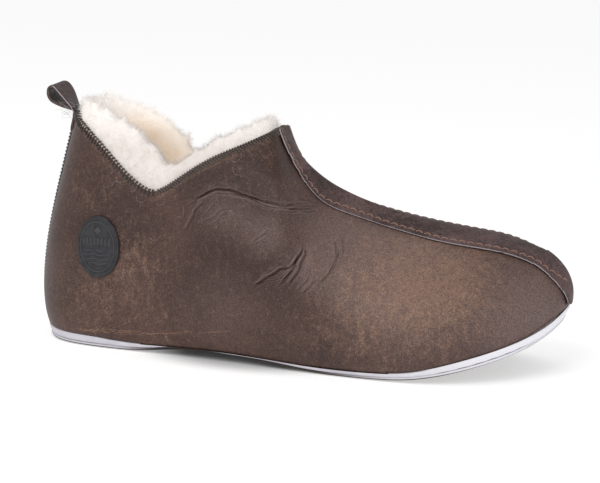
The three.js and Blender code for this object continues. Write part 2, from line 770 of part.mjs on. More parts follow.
// The back of the heel leans forward towards the collar. The eye of the pull loop stays behind.
function leanHeel(geometry) {
  const { smoothstep } = THREE.MathUtils;
  const p = geometry.getAttribute("position");
  for (let k = 0; k < p.count; k += 1) {
    const x = p.getX(k);
    const z = p.getZ(k);
    const up = smoothstep(z, 0.29 * INSTEP, 1.03 * INSTEP) * (1 - smoothstep(z, 1.035 * INSTEP, 1.1 * INSTEP));
    p.setX(k, x + HEEL_LEAN * up * (1 - smoothstep(x, 0.05 * LENGTH, 0.26 * LENGTH)));
  }
  return geometry;
}

const group = new THREE.Group();
function add(name, solid) {
  const geometry = leanHeel(solid);
  const mesh = new THREE.Mesh(geometry);
  mesh.name = name;
  group.add(mesh);
}

add("upper", upper);
add("wool_lining", geometryOf(fleeceSolid));
add("vamp_strip", strip);
add(
  "side_badge",
  patchOf({
    x: 0.14507 * LENGTH,
    z: 0.45667 * INSTEP,
    halfX: BADGE_WIDTH / 2,
    halfZ: BADGE_HEIGHT / 2,
    lean: rad(3),
  }),
);
add("pull_loop", loopOf());
add(
  "insole",
  slabOf({
    margin: () => -2.7,
    low: footZ,
    high: insoleTop,
    side: [
      [0.4, 0],
      [0, 0.3],
      [0.3, 0.75],
      [1.6, 1],
    ],
  }),
);
add(
  "midsole",
  slabOf({
    margin: edgeOfSole,
    low: (x) => floorOf(x) + OUTSOLE + GAP,
    high: (x) => footZ(x) - GAP - 0.1,
    side: [
      [2.2, 0],
      [1, 0.25],
      [0.2, 0.6],
      [0, 0.85],
      [0.3, 1],
    ],
  }),
);
add(
  "outsole",
  slabOf({
    margin: (u) => edgeOfSole(u) - 2.3,
    low: floorOf,
    high: (x) => floorOf(x) + OUTSOLE,
    side: [
      [0.5, 0],
      [0, 0.5],
      [0.1, 1],
    ],
  }),
);

// The origin goes to the middle of the footprint, on the floor.
const box = new THREE.Box3().setFromObject(group);
const middle = box.getCenter(vec(0, 0, 0));
for (const mesh of group.children) mesh.geometry.translate(-middle.x, -middle.y, -box.min.z);

export default group;
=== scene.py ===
# The finished look of a leather ankle slipper: leather, suede, fleece, rubber, foam and thread.
# Points and lengths are millimetres, with x from the back of the heel, unless a line says otherwise.
import math

import bmesh
import bpy
import numpy as np
from mathutils import Matrix, Vector
from mathutils.bvhtree import BVHTree


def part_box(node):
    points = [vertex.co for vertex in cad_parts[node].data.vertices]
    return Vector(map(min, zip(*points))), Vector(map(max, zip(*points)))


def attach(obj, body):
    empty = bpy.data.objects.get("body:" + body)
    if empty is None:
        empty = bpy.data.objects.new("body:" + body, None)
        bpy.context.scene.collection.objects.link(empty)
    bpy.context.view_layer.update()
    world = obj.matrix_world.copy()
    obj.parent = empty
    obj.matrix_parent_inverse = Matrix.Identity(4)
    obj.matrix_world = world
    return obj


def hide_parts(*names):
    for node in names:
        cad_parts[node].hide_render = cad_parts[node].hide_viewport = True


bl_info = {
    "name": "Leather Ankle Slipper",
    "version": (1, 0, 0),
    "blender": (4, 5, 0),
    "location": "View3D > Sidebar > Slipper",
    "description": "Finishes the slipper's leather, fleece, stitching and sole",
    "category": "Object",
}

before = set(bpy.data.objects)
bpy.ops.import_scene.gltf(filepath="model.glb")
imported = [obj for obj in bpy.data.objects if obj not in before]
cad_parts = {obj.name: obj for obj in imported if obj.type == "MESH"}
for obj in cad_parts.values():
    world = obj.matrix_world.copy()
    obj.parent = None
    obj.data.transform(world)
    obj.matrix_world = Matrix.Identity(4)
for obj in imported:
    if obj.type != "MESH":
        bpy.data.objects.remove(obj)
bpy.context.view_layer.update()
MM = 0.001
# From the back of the heel to the front end of the strip.
STRIP_REACH = 284.55
# Where the back of the heel and the middle of the shoe lie in the frame.
HEEL_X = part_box("vamp_strip")[1][0] / MM - STRIP_REACH
MIDDLE_Y = 0.265
# The lowest point of the collar, and the middle of the ankle opening.
COLLAR_LOW_X = 71
ANKLE_X = 62
# The stitches' first and last x on the strip.
STITCHES_X = (127.6, 281.6)
# The badge's middle, and half its width and height.
BADGE_X = 40.6
BADGE_Z = 54.8
BADGE_HALF = (12.1, 16.2)
# Half the width of the loop's strap, and its thickness.
LOOP_HALF = 8.8
LOOP_THICK = 1.45
# How far the foam and the outsole swell, and the waist's outer edge stands off the floor.
SOLE_SWELL = 0.2
ARCH_LIFT = 2.1
# The shade under the shoe: its middle, and half its length and width.
SHADE_MIDDLE = (122, -20)
SHADE_HALF = (66, 40)
# The camera: turn, rise and roll in degrees, what it aims at, and how far off it is in metres.
CAMERA_DEGREES = (13, 10, 2.2)
CAMERA_AIM = (142, 0, 60)
CAMERA_AWAY = 1.1
# Its focal length and the picture's width in pixels, and the sensor's width.
FOCAL_PIXELS = 2091
PICTURE_PIXELS = 600
SENSOR_WIDTH = 36

# The side view of the collar edge.
COLLAR_X = [
    0, 10.3, 15.3, 24.2, 31.8, 42.2, 51.6, 60.2, 66, 70.5, 75, 80, 86, 94, 101, 111, 118.5, 127.8, 140,
]
COLLAR_Z = [
    125.5, 125.5, 123, 117.3, 112.6, 104.8, 96.2, 89.4, 86.2, 85.5, 87.6, 91.4, 96, 101.9,
    106, 110.6, 114.3, 119, 125,
]

# The plan of the instep strip: x, its middle, and its half width outward and inward.
STRIP = np.array(
    [
        [112.0, 0, 9.5, 10],
        [128.8, 0, 9.4, 10.5],
        [135.0, 0, 8.2, 10],
        [140.0, 0, 8.6, 9.5],
        [147.0, 0, 10.4, 10.4],
        [153.3, 0, 12.2, 11.2],
        [159.4, 0, 10.8, 10.4],
        [166.6, 0, 9.0, 9.5],
        [177.8, 0, 8.2, 9.5],
        [187.6, 0, 8.6, 10],
        [198.5, 0.3, 8.8, 10.5],
        [207.0, 0.9, 9.6, 11],
        [218.0, 1.6, 10.5, 11.6],
        [228.6, 2.8, 10.8, 12],
        [239.0, 3.9, 11.0, 12.2],
        [248.5, 5.1, 11.6, 12.4],
        [257.0, 6.2, 12.6, 12.6],
        [265.0, 7.3, 13.0, 12.8],
        [272.0, 8.2, 13.8, 13],
        [277.4, 8.8, 12.0, 13.4],
        [280.4, 9.2, 9.6, 14],
        [283.0, 9.6, 5.5, 15],
    ]
)

# Creases on the outer side: depth, half width, how much the lower side swells, then x and z along each.
CREASES = [
    (1.1, 0.5, 0.9, [
        (91, 80), (94, 84), (98.5, 87), (104.5, 89.5), (111, 89.5), (117, 87.5), (128.5, 85.5),
        (140.5, 83), (145.5, 84.5),
    ]),
    (0.5, 0.4, 0.5, [
        (100.5, 87), (111, 88), (117.5, 86.5), (124.5, 85), (131.5, 83), (143.5, 81.5), (152, 80.5),
    ]),
    (0.4, 0.4, 0.4, [(124.5, 87.5), (130, 86.5), (135.5, 85), (144.5, 83)]),
    (0.3, 0.35, 0.3, [(143, 80), (146, 80.5), (150, 79.5), (153.5, 79.5)]),
    (0.3, 0.35, 0.3, [(143.5, 86), (147, 84.5), (151.5, 83)]),
    (0.5, 0.5, 0.4, [(98, 83.5), (93, 77), (91, 71.5), (88.5, 67)]),
    (0.3, 0.35, 0.3, [(95, 83.5), (91.5, 81.5), (88.5, 79.5)]),
    (0.35, 0.35, 0.3, [(112, 81), (106.5, 78), (101.5, 74), (97.5, 72)]),
    (0.35, 0.35, 0.3, [(110.5, 78.5), (107, 75), (102.5, 70.5)]),
    (0.35, 0.35, 0.3, [(105, 83), (100.5, 78.5), (97, 73.5)]),
    (1.0, 0.5, 0.9, [
        (151, 66), (151.5, 64), (151, 60.5), (149.5, 57.5), (147, 54.5), (142, 53), (134, 47.5),
        (126.5, 42),
    ]),
    (0.8, 0.5, 0.6, [(150.5, 61.5), (150, 58.5), (148.5, 54.5), (146.5, 50.5), (144, 47.5), (142, 45)]),
    (0.7, 0.5, 0.7, [(152.5, 65), (153, 60.5), (152, 54.5), (149.5, 49.5), (146.5, 45)]),
    (0.4, 0.4, 0.4, [(142, 54.5), (137, 52), (133.5, 48.5), (130, 45.5)]),
    (0.4, 0.35, 0.4, [(147, 53.5), (144, 50), (141, 46.5)]),
    (0.5, 0.5, 0.4, [
        (165, 67.5), (166.5, 64.5), (168, 60), (168, 56), (166.5, 53), (164, 49.5), (162.5, 47),
    ]),
    (0.5, 0.5, 0.4, [(160.5, 49.5), (157.5, 45.5), (154.5, 41.5)]),
    (0.4, 0.4, 0.4, [(157.5, 50.5), (155, 47), (151.5, 43)]),
    (0.25, 0.5, 0.2, [(167.5, 69), (170, 64.5), (171, 59)]),
    (0.35, 0.4, 0.3, [(134, 70), (128.5, 66.5), (125, 62)]),
    (0.3, 0.4, 0.3, [(132, 66.5), (127, 63)]),
]

# Lines that fine ripples follow: reach to both sides, then x and z along each.
RIPPLES = [
    (3.2, [(112, 88), (124, 85), (131.5, 83), (143.5, 81.5), (156, 80)]),
    (2.6, [(152, 66), (151, 60), (148, 54), (143, 49), (134, 46), (126, 41)]),
    (2.6, [(166, 70), (168.5, 60), (166.5, 53), (161, 46), (154, 41)]),
    (2.8, [(101, 84), (97, 78), (92, 70)]),
]

# Broad soft folds: height, half width, then x and z along each.
SWELLS = [
    (2.6, 6.0, [(96, 82), (106, 80), (118, 74), (131, 67), (144, 59)]),
    (1.3, 2.6, [(95, 79), (101, 84), (108, 86), (117, 84), (128, 82), (140, 79)]),
    (-1.0, 4.5, [(97, 91), (104, 94), (116, 92), (130, 89.5), (142, 88)]),
    (0.8, 1.6, [(155.8, 66), (156.2, 60), (155, 54), (152.5, 48.5)]),
    (0.7, 1.5, [(149.2, 62), (148, 58), (145, 52)]),
    (1.9, 3.6, [(156.5, 72), (157.5, 62), (155.5, 53), (151, 43)]),
    (0.8, 3.0, [(147, 50), (139, 44), (131, 39)]),
    (-1.2, 7.0, [(103, 62), (118, 54), (131, 44), (140, 36)]),
    (-0.9, 6.0, [(162, 78), (163, 66), (163, 54), (160, 44)]),
    (0.8, 7.0, [(176, 74), (180, 60), (178, 46)]),
    (0.9, 7.0, [(118, 100), (126, 96), (134, 93)]),
]

# Where the leather is rubbed to tan: x, z, radius and strength.
WORN = [
    (62, 52, 22, 0.55),
    (54, 34, 24, 0.4),
    (32, 22, 22, 0.35),
    (26, 84, 16, 0.3),
    (44, 86, 12, 0.25),
    (204, 54, 34, 0.75),
    (226, 48, 28, 0.75),
    (194, 38, 28, 0.32),
    (240, 30, 22, 0.25),
    (238, 56, 22, 0.35),
    (176, 54, 30, 0.34),
    (212, 18, 26, 0.25),
    (178, 22, 26, 0.3),
    (78, 14, 16, 0.3),
    (118, 104, 14, 0.25),
    (146, 96, 10, 0.2),
]

# Where the leather turns pale: rubbed smooth on the forefoot, and painted highlight on the bulges between the
# creases: x, z, radius and strength.
GREY_AND_HIGHLIGHT = [
    (104, 79, 12, 0.6),
    (118, 74, 12, 0.6),
    (131, 67, 11, 0.65),
    (158, 47, 9, 0.5),
    (173, 56, 10, 0.5),
    (141, 90, 12, 0.4),
    (141, 74, 12, 0.45),
    (157, 58, 11, 0.9),
    (158, 76, 12, 0.45),
    (268, 44, 30, 1.4),
    (254, 24, 22, 0.5),
    (166, 68, 20, 0.8),
    (186, 62, 32, 0.9),
    (210, 50, 42, 0.95),
    (110, 26, 24, 0.35),
    (12, 40, 14, 0.3),
]

# Where the leather is darkened: painted shade in the hollows above and below the creases, and darker patches
# elsewhere: x, z, radius and strength.
DARK_AND_SHADE = [
    (112, 101, 22, 1.2),
    (132, 93, 12, 0.7),
    (100, 95, 12, 0.5),
    (108, 60, 15, 0.5),
    (124, 52, 13, 0.5),
    (140, 102, 12, 0.5),
    (88, 92, 16, 0.5),
    (97, 42, 30, 0.4),
    (143, 38, 20, 0.6),
    (96, 76, 12, 0.5),
    (20, 96, 20, 0.4),
    (5, 60, 14, 0.3),
]

# Long scratches low on the heel: x and z at both ends.
SCRATCHES = [
    (28, 8.6, 92, 13),
    (24, 8.2, 66, 9.8),
    (56, 9.6, 112, 16.5),
    (40, 10.6, 64, 11.6),
    (52, 13, 66, 21),
    (30, 9.4, 58, 10.4),
    (46, 11.5, 56, 17),
]


def place(x, y, z):
    return Vector(((x + HEEL_X) * MM, (y + MIDDLE_Y) * MM, z * MM))


def only(piece):
    bpy.ops.object.select_all(action="DESELECT")
    piece.select_set(True)
    bpy.context.view_layer.objects.active = piece


def new_piece(name, data):
    piece = bpy.data.objects.new(name, data)
    data.name = name
    bpy.context.scene.collection.objects.link(piece)
    only(piece)
    return piece


def copy_of(node, name):
    """A merged copy of a CAD node, with its grid of quads back."""
    piece = new_piece(name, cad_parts[node].data.copy())
    piece.data.materials.clear()
    bpy.ops.mesh.customdata_custom_splitnormals_clear()
    bpy.ops.object.mode_set(mode="EDIT")
    bpy.ops.mesh.select_all(action="SELECT")
    bpy.ops.mesh.remove_doubles(threshold=0.01 * MM)
    bpy.ops.mesh.tris_convert_to_quads(face_threshold=math.pi, shape_threshold=math.pi)
    bpy.ops.object.mode_set(mode="OBJECT")
    return piece


def modify(piece, kind, **settings):
    only(piece)
    modifier = piece.modifiers.new(kind.title(), kind)
    for key, value in settings.items():
        setattr(modifier, key, value)
    bpy.ops.object.modifier_apply(modifier=modifier.name)


def subdivide(piece, levels):
    modify(piece, "SUBSURF", levels=levels, render_levels=levels)


def smooth(piece, angle=180):
    only(piece)
    if angle < 180:
        bpy.ops.object.shade_smooth_by_angle(angle=math.radians(angle))
    else:
        bpy.ops.object.shade_smooth()


def crease_edges(piece, test, weight=1.0):
    mesh = bmesh.new()
    mesh.from_mesh(piece.data)
    layer = mesh.edges.layers.float.get("crease_edge") or mesh.edges.layers.float.new("crease_edge")
    for edge in mesh.edges:
        if test(edge):
            edge[layer] = weight
    mesh.to_mesh(piece.data)
    mesh.free()


def sharp(degrees):
    return lambda edge: len(edge.link_faces) == 2 and edge.calc_face_angle(0) > math.radians(degrees)


def finish_piece(piece, nodes=()):
    for node in nodes:
        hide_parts(node)
    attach(piece, "root")


def read(piece, what="co"):
    """The mesh's points in millimetres from the heel, or its normals."""
    flat = np.empty(len(piece.data.vertices) * 3, np.float32)
    piece.data.vertices.foreach_get(what, flat)
    rows = flat.reshape(-1, 3).astype(float)
    return rows if what == "normal" else rows / MM - (HEEL_X, MIDDLE_Y, 0)


def write(piece, rows):
    flat = ((rows + (HEEL_X, MIDDLE_Y, 0)) * MM).astype(np.float32).ravel()
    piece.data.vertices.foreach_set("co", flat)
    piece.data.update()


def tree_of(piece):
    mesh = piece.data
    return BVHTree.FromPolygons([v.co for v in mesh.vertices], [p.vertices for p in mesh.polygons])


def to_line(x, z, line):
    """Signed distance to a line of points, and how far along it, from 0 to 1."""
    line = np.array(line, float)
    lengths = np.hypot(*(line[1:] - line[:-1]).T)
    total = lengths.sum()
    best = np.full(x.shape, 1e9)
    side = np.zeros(x.shape)
    along = np.zeros(x.shape)
    start = 0.0
    for a, b, size in zip(line[:-1], line[1:], lengths):
        step = (b - a) / size
        t = np.clip((x - a[0]) * step[0] + (z - a[1]) * step[1], 0, size)
        dx = x - a[0] - step[0] * t
        dz = z - a[1] - step[1] * t
        d = np.hypot(dx, dz)
        nearer = d < best
        best = np.where(nearer, d, best)
        side = np.where(nearer, np.sign(step[0] * dz - step[1] * dx), side)
        along = np.where(nearer, (start + t) / total, along)
        start += size
    return best * side, along


def smoothstep(low, high, value):
    t = np.clip((value - low) / (high - low), 0, 1)
    return t * t * (3 - 2 * t)


def hump(off, wide):
    """1 in the middle, falling to 0 on both sides."""
    return np.exp(-((off / wide) ** 2))


def collar_edge(x):
    return np.interp(x, COLLAR_X, COLLAR_Z)


def unit(rows):
    return rows / np.linalg.norm(rows, axis=1)[:, None]


def store(piece, name, values):
    """Keep a number for each point of the mesh, for its material to read."""
    layer = piece.data.attributes.new(name, "FLOAT", "POINT")
    layer.data.foreach_set("value", values.astype(np.float32))


def fade(along, share=0.14):
    return smoothstep(0, share, along) * smoothstep(0, share, 1 - along)


class Shader:
    """A material and short ways to add nodes to it."""

    def __init__(self, name, **values):
        self.material = bpy.data.materials.new(name)
        self.material.use_nodes = True
        self.tree = self.material.node_tree
        self.surface = self.tree.nodes["Principled BSDF"]
        for key, value in values.items():
            self.surface.inputs[key.replace("_", " ")].default_value = value
        here = self.add("ShaderNodeTexCoord").outputs["Object"]
        shift = (-HEEL_X, -MIDDLE_Y, 0)
        moved = self.add("ShaderNodeMapping", Vector=here, Scale=(1000, 1000, 1000), Location=shift)
        self.here = moved.outputs[0]
        parts = self.add("ShaderNodeSeparateXYZ", Vector=self.here).outputs
        self.x, self.y, self.z = parts[0], parts[1], parts[2]

    def add(self, kind, **values):
        node = self.tree.nodes.new(kind)
        for key, value in values.items():
            if hasattr(node, key) and key not in node.inputs:
                setattr(node, key, value)
                continue
            socket = node.inputs[int(key[1:])] if key[0] == "i" and key[1:].isdigit() else node.inputs[key]
            if isinstance(value, bpy.types.NodeSocket):
                self.tree.links.new(value, socket)
            else:
                socket.default_value = value
        return node

    def math(self, operation, a, b=0.0, clamp=False):
        return self.add("ShaderNodeMath", operation=operation, use_clamp=clamp, i0=a, i1=b).outputs[0]

    def chain(self, operation, first, *others):
        for other in others:
            first = self.math(operation, first, other)
        return first

    def plus(self, *values):
        return self.chain("ADD", *values)

    def times(self, *values):
        return self.chain("MULTIPLY", *values)

    def minus(self, a, b):
        return self.math("SUBTRACT", a, b)

    def attribute(self, name):
        return self.add("ShaderNodeAttribute", attribute_name=name).outputs["Fac"]

    def noise(self, scale, detail=3.0, roughness=0.5, distortion=0.0, vector=None):
        return self.add(
            "ShaderNodeTexNoise",
            Vector=vector or self.here,
            Scale=scale,
            Detail=detail,
            Roughness=roughness,
            Distortion=distortion,
        ).outputs[0]

    def stretched(self, scale):
        return self.add("ShaderNodeMapping", Vector=self.here, Scale=scale).outputs[0]

    def span(self, value, low, high, to_low=0.0, to_high=1.0):
        node = self.add("ShaderNodeMapRange", interpolation_type="SMOOTHSTEP", Value=value)
        for key, number in zip(("From Min", "From Max", "To Min", "To Max"), (low, high, to_low, to_high)):
            node.inputs[key].default_value = number
        return node.outputs[0]

    def mix(self, share, a, b, blend="MIX"):
        node = self.tree.nodes.new("ShaderNodeMix")
        node.data_type = "RGBA"
        node.blend_type = blend
        for index, value in ((0, share), (6, a), (7, b)):
            if isinstance(value, bpy.types.NodeSocket):
                self.tree.links.new(value, node.inputs[index])
            elif index == 0:
                node.inputs[0].default_value = value
            else:
                node.inputs[index].default_value = (*value[:3], 1)
        return node.outputs[2]

    def spots(self, rows):
        """Soft round patches in side view, added up."""
        flat = self.add("ShaderNodeCombineXYZ", X=self.x, Z=self.z).outputs[0]
        total = None
        for x, z, radius, strength in rows:
            away = self.add("ShaderNodeVectorMath", operation="DISTANCE", i0=flat, i1=(x, 0, z))
            patch = self.span(away.outputs["Value"], 0, radius * 1.4, strength, 0)
            total = patch if total is None else self.plus(total, patch)
        return total

    def colour(self, value):
        self.set("Base Color", value)

    def set(self, name, value):
        self.tree.links.new(value, self.surface.inputs[name])

    def bump(self, height, strength, depth):
        node = self.add("ShaderNodeBump", Strength=strength, Distance=depth * MM, Height=height)
        self.set("Normal", node.outputs[0])

    def wear(self, piece):
        piece.data.materials.append(self.material)
        return self


def leather_shader(name, settings):
    s = Shader(name, Roughness=0.5, Specular_IOR_Level=0.28)
    cloud = s.noise(0.022, 3, 0.55, 0.4)
    mottle = s.noise(0.13, 5, 0.66, 0.5)
    speck = s.noise(1.25, 3, 0.75)
    fleck = s.noise(0.42, 4, 0.7, 0.6)
    brushed = s.noise(0.35, 4, 0.7, 0.3, s.stretched((1.0, 1.0, 0.35)))
    body = s.mix(s.span(cloud, 0.3, 0.7), settings.dark, settings.brown)
    body = s.mix(s.span(mottle, 0.35, 0.75, 0, 0.5), body, settings.dark)
    # Darker patches; round the creases they are painted shade in the hollows.
    body = s.mix(s.spots(DARK_AND_SHADE), body, settings.dark)
    # Rubbed smooth on the forefoot, and painted highlight on the bulges between the creases.
    body = s.mix(s.math("MULTIPLY", s.spots(GREY_AND_HIGHLIGHT), 0.65, True), body, settings.grey)
    rub = s.plus(s.times(speck, 0.42), s.times(fleck, 0.34), s.times(brushed, 0.42))
    rub = s.plus(rub, s.times(mottle, 0.26), s.times(s.spots(WORN), 0.2))
    worn = s.span(rub, 0.72, 1.12, 0, 1)
    body = s.mix(s.times(worn, 0.7), body, settings.worn)
    flecks = s.times(s.span(s.noise(2.1, 2, 0.6), 0.56, 0.7, 0, 0.5), s.span(fleck, 0.35, 0.65))
    body = s.mix(flecks, body, settings.worn)
    lines = None
    wander = s.times(s.minus(s.noise(0.09, 3, 0.6), 0.5), 4)
    breaks = s.span(s.noise(0.3, 3, 0.7, 0, s.stretched((1, 1, 3))), 0.36, 0.56)
    for x0, z0, x1, z1 in SCRATCHES:
        slope = (z1 - z0) / (x1 - x0)
        level = s.plus(s.times(s.minus(s.x, x0), slope), z0)
        off = s.math("ABSOLUTE", s.minus(s.minus(s.z, level), wander))
        line = s.span(off, 0.1, 0.34, 1, 0)
        inside = s.times(s.span(s.x, x0 - 4, x0 + 4), s.span(s.x, x1 - 6, x1 + 6, 1, 0))
        line = s.times(line, inside)
        lines = line if lines is None else s.math("MAXIMUM", lines, line)
    lines = s.times(lines, breaks, 0.42)
    outer = s.span(s.y, -20, -10, 1, 0)
    body = s.mix(s.times(lines, outer), body, settings.scratch)
    edge = s.attribute("edge")
    edge = s.times(edge, s.span(fleck, 0.35, 0.6, 0.2, 0.8))
    body = s.mix(edge, body, settings.worn)
    grain = s.mix(s.span(s.noise(1.3, 4, 0.8), 0.34, 0.68), (0.58, 0.57, 0.58), (1.5, 1.38, 1.26))
    body = s.mix(1.0, body, grain, "MULTIPLY")
    across = s.attribute("across")
    reach = s.attribute("reach")
    phase = s.plus(s.times(across, 5.2), s.times(s.noise(0.12, 2), 9))
    ripple = s.times(s.math("SINE", phase), s.span(s.noise(0.16, 2), 0.36, 0.6))
    ripple = s.times(ripple, reach)
    # Painted highlight on the ridges beside the creases and on the ripples' crests, partly the paling of
    # pull-up leather where it bends; painted shade in the ripples' troughs.
    pull_up_and_highlight = s.attribute("pull_up_and_highlight")
    pull_up_and_highlight = s.plus(pull_up_and_highlight, s.times(ripple, 0.5))
    body = s.mix(s.math("MULTIPLY", pull_up_and_highlight, 0.42, True), body, (0.24, 0.175, 0.16))
    body = s.mix(s.math("MULTIPLY", ripple, -0.5, True), body, (0.02, 0.012, 0.01))
    # Painted shade in the troughs of the creases.
    crease_shade = s.attribute("fold")
    s.colour(s.mix(s.math("MULTIPLY", crease_shade, 0.55, True), body, (0.012, 0.008, 0.007)))
    s.set("Roughness", s.span(s.plus(worn, s.times(mottle, 0.4)), 0.1, 1.1, 0.44, 0.62))
    cells = s.add("ShaderNodeTexVoronoi", Vector=s.here, Scale=0.95).outputs["Distance"]
    wrinkle = s.noise(0.3, 4, 0.6, 1.6)
    height = s.plus(s.times(cells, 0.45), s.times(speck, 0.5))
    height = s.plus(height, s.times(wrinkle, 0.9))
    s.bump(s.plus(height, s.times(ripple, 1.1)), 0.55, 0.35)
    return s


def suede_shader(name, dark, light, sheen=0.08):
    s = Shader(name, Roughness=0.85, Sheen_Weight=sheen, Sheen_Roughness=0.45)
    nap = s.noise(1.6, 3, 0.7)
    brushed = s.noise(0.05, 4, 0.6, 0.8)
    fine = s.noise(0.5, 4, 0.75, 0.4)
    share = s.plus(s.times(nap, 0.4), s.times(brushed, 0.35))
    share = s.plus(share, s.times(fine, 0.35))
    s.colour(s.mix(s.span(share, 0.46, 0.64), dark, light))
    s.bump(nap, 0.5, 0.25)
    return s


def thread_shader(name, colour, light):
    s = Shader(name, Roughness=0.6, Sheen_Weight=0.25)
    twist = s.noise(2.2, 2, 0.6)
    s.colour(s.mix(s.span(twist, 0.35, 0.65), colour, light))
    s.bump(twist, 0.4, 0.12)
    return s


def fleece_shader(name, settings, fringe=0.0):
    s = Shader(name, Roughness=0.85, Sheen_Weight=0.25, Sheen_Roughness=0.6)
    curl = s.noise(0.28, 4, 0.6, 0.5)
    # Painted light: the inner walls and the deep pile are made warmer and brighter, standing in for light
    # bounced round inside the lining.
    inward = s.times(s.span(s.y, 4, 22), s.span(s.z, 112, 124, 1, 0))
    deep = s.math("MAXIMUM", s.span(s.z, 60, 84, 1, 0), s.times(inward, 0.7))
    deep = s.times(deep, s.span(curl, 0.2, 0.8, 0.7, 1))
    pale = s.mix(s.span(curl, 0.3, 0.6), settings.cream, settings.white)
    wool = s.mix(deep, pale, settings.tan)
    shade = s.spots([(42, 108, 13, 0.7), (52, 101, 13, 0.7), (63, 93, 12, 0.6)])
    shade = s.math("MULTIPLY", s.times(shade, s.span(s.y, 4, 20)), s.span(curl, 0.2, 0.7, 0.5, 1), True)
    wool = s.mix(shade, wool, (0.64, 0.48, 0.31))
    s.colour(wool)
    # Painted glow: the fleece emits light, more at the tips of the pile and in the deep pile, and most on the
    # far side's fringe.
    tips = s.mix(s.span(s.z, 104, 128, 0, 0.9), wool, (2.3, 2.25, 2.2))
    tips = s.mix(deep, tips, (1.35, 1.28, 1.15))
    far = s.times(s.span(s.y, 6, 22, 0, fringe), s.span(s.z, 106, 120))
    s.set("Emission Color", s.mix(far, tips, (4.0, 3.85, 3.7)))
    s.surface.inputs["Emission Strength"].default_value = settings.glow
    s.bump(s.noise(0.9, 3, 0.6), 0.18, 0.5)
    return s


def threads(name, paths, radius, sides=1):
    """One mesh of many short threads, each along its own path of points in metres."""
    curve = bpy.data.curves.new(name, "CURVE")
    curve.dimensions = "3D"
    curve.bevel_depth = radius * MM
    curve.bevel_resolution = sides
    curve.use_fill_caps = True
    for path in paths:
        spline = curve.splines.new("POLY")
        spline.points.add(len(path) - 1)
        for point, at in zip(spline.points, path):
            point.co = (*at, 1)
    piece = new_piece(name, curve)
    bpy.ops.object.convert(target="MESH")
    piece = bpy.context.view_layer.objects.active
    smooth(piece)
    return piece


def evenly(points, pitch):
    """Places a fixed distance apart along a line of points, each an index with its share of a step."""
    steps = [0.0]
    for a, b in zip(points[:-1], points[1:]):
        steps.append(steps[-1] + (b - a).length)
    count = int(steps[-1] / (pitch * MM))
    spaced = np.linspace(0, steps[-1], count + 1)
    return [float(np.interp(s, steps, range(len(points)))) for s in spaced]


def between(rows, where):
    k = min(int(where), len(rows) - 2)
    return rows[k].lerp(rows[k + 1], where - k)


class LeatherSettings(bpy.types.PropertyGroup):
    brown: bpy.props.FloatVectorProperty(
        name="Brown", description="Main colour of the leather", subtype="COLOR", default=(0.086, 0.049, 0.042)
    )
    # Also the colour of the painted shade in the hollows round the creases.
    dark: bpy.props.FloatVectorProperty(
        name="Dark brown",
        description="Leather where it is least worn",
        subtype="COLOR",
        default=(0.044, 0.0245, 0.0215),
    )
    # Also the colour of the painted highlights on the bulges between the creases.
    grey: bpy.props.FloatVectorProperty(
        name="Grey", description="Leather polished smooth", subtype="COLOR", default=(0.15, 0.105, 0.1)
    )
    worn: bpy.props.FloatVectorProperty(
        name="Worn", description="Leather rubbed to tan", subtype="COLOR", default=(0.31, 0.2, 0.15)
    )
    scratch: bpy.props.FloatVectorProperty(
        name="Scratches", description="Bare hide in a scratch", subtype="COLOR", default=(0.3, 0.18, 0.11)
    )
    crease_depth: bpy.props.FloatProperty(
        name="Crease depth",
        description="Depth of the folds, as a share of the full depth",
        default=1.0,
        subtype="FACTOR",
    )


class StripSettings(bpy.types.PropertyGroup):
    suede: bpy.props.FloatVectorProperty(
        name="Suede", description="Colour of the strip", subtype="COLOR", default=(0.03, 0.017, 0.015)
    )
    nap: bpy.props.FloatVectorProperty(
        name="Nap", description="Colour of the brushed nap", subtype="COLOR", default=(0.122, 0.073, 0.069)
    )
    cut_edge: bpy.props.FloatVectorProperty(
        name="Cut edge", description="Colour of the cut edge", subtype="COLOR", default=(0.36, 0.32, 0.34)
    )
    thread: bpy.props.FloatVectorProperty(
        name="Thread", description="Colour of the lockstitches", subtype="COLOR", default=(0.2, 0.1, 0.072)
    )
    pitch: bpy.props.FloatProperty(
        name="Stitch pitch", description="Length of one stitch in millimetres", default=4.5, min=2, max=10
    )
    inset: bpy.props.FloatProperty(
        name="Stitch inset",
        description="Distance from the strip's edge in millimetres",
        default=0.9,
        min=0.5,
        max=5,
    )


class FleeceSettings(bpy.types.PropertyGroup):
    white: bpy.props.FloatVectorProperty(
        name="White", description="Tips of the fleece", subtype="COLOR", default=(0.78, 0.73, 0.695)
    )
    cream: bpy.props.FloatVectorProperty(
        name="Cream", description="Body of the fleece", subtype="COLOR", default=(0.76, 0.7, 0.655)
    )
    # Painted light: the warmer, brighter colour of the inner walls and the deep pile, standing in for light
    # bounced round inside the lining.
    tan: bpy.props.FloatVectorProperty(
        name="Tan", description="Fleece deep inside", subtype="COLOR", default=(0.93, 0.84, 0.75)
    )
    # Painted glow: how strongly the fleece emits light, though it is no lamp.
    glow: bpy.props.FloatProperty(
        name="Glow",
        description="Light that the pile scatters back out",
        default=0.14,
        min=0,
        subtype="FACTOR",
    )
    fibres: bpy.props.IntProperty(
        name="Fibres", description="Number of fibres round the collar", default=26000, min=0, max=35000
    )
    fibre_length: bpy.props.FloatProperty(
        name="Fibre length", description="Length of a fibre in millimetres", default=3.8, min=1, max=12
    )


class StageSettings(bpy.types.PropertyGroup):
    floor: bpy.props.FloatVectorProperty(
        name="Floor", description="Colour of the floor", subtype="COLOR", default=(0.8, 0.8, 0.8)
    )
    sky: bpy.props.FloatProperty(
        name="Sky", description="Strength of the light all round", default=0.55, min=0
    )
    key: bpy.props.FloatProperty(
        name="Key light", description="Power of the main light", default=9.5, min=0, unit="POWER"
    )
    fill: bpy.props.FloatProperty(
        name="Fill light", description="Power of the side light", default=2.0, min=0, unit="POWER"
    )


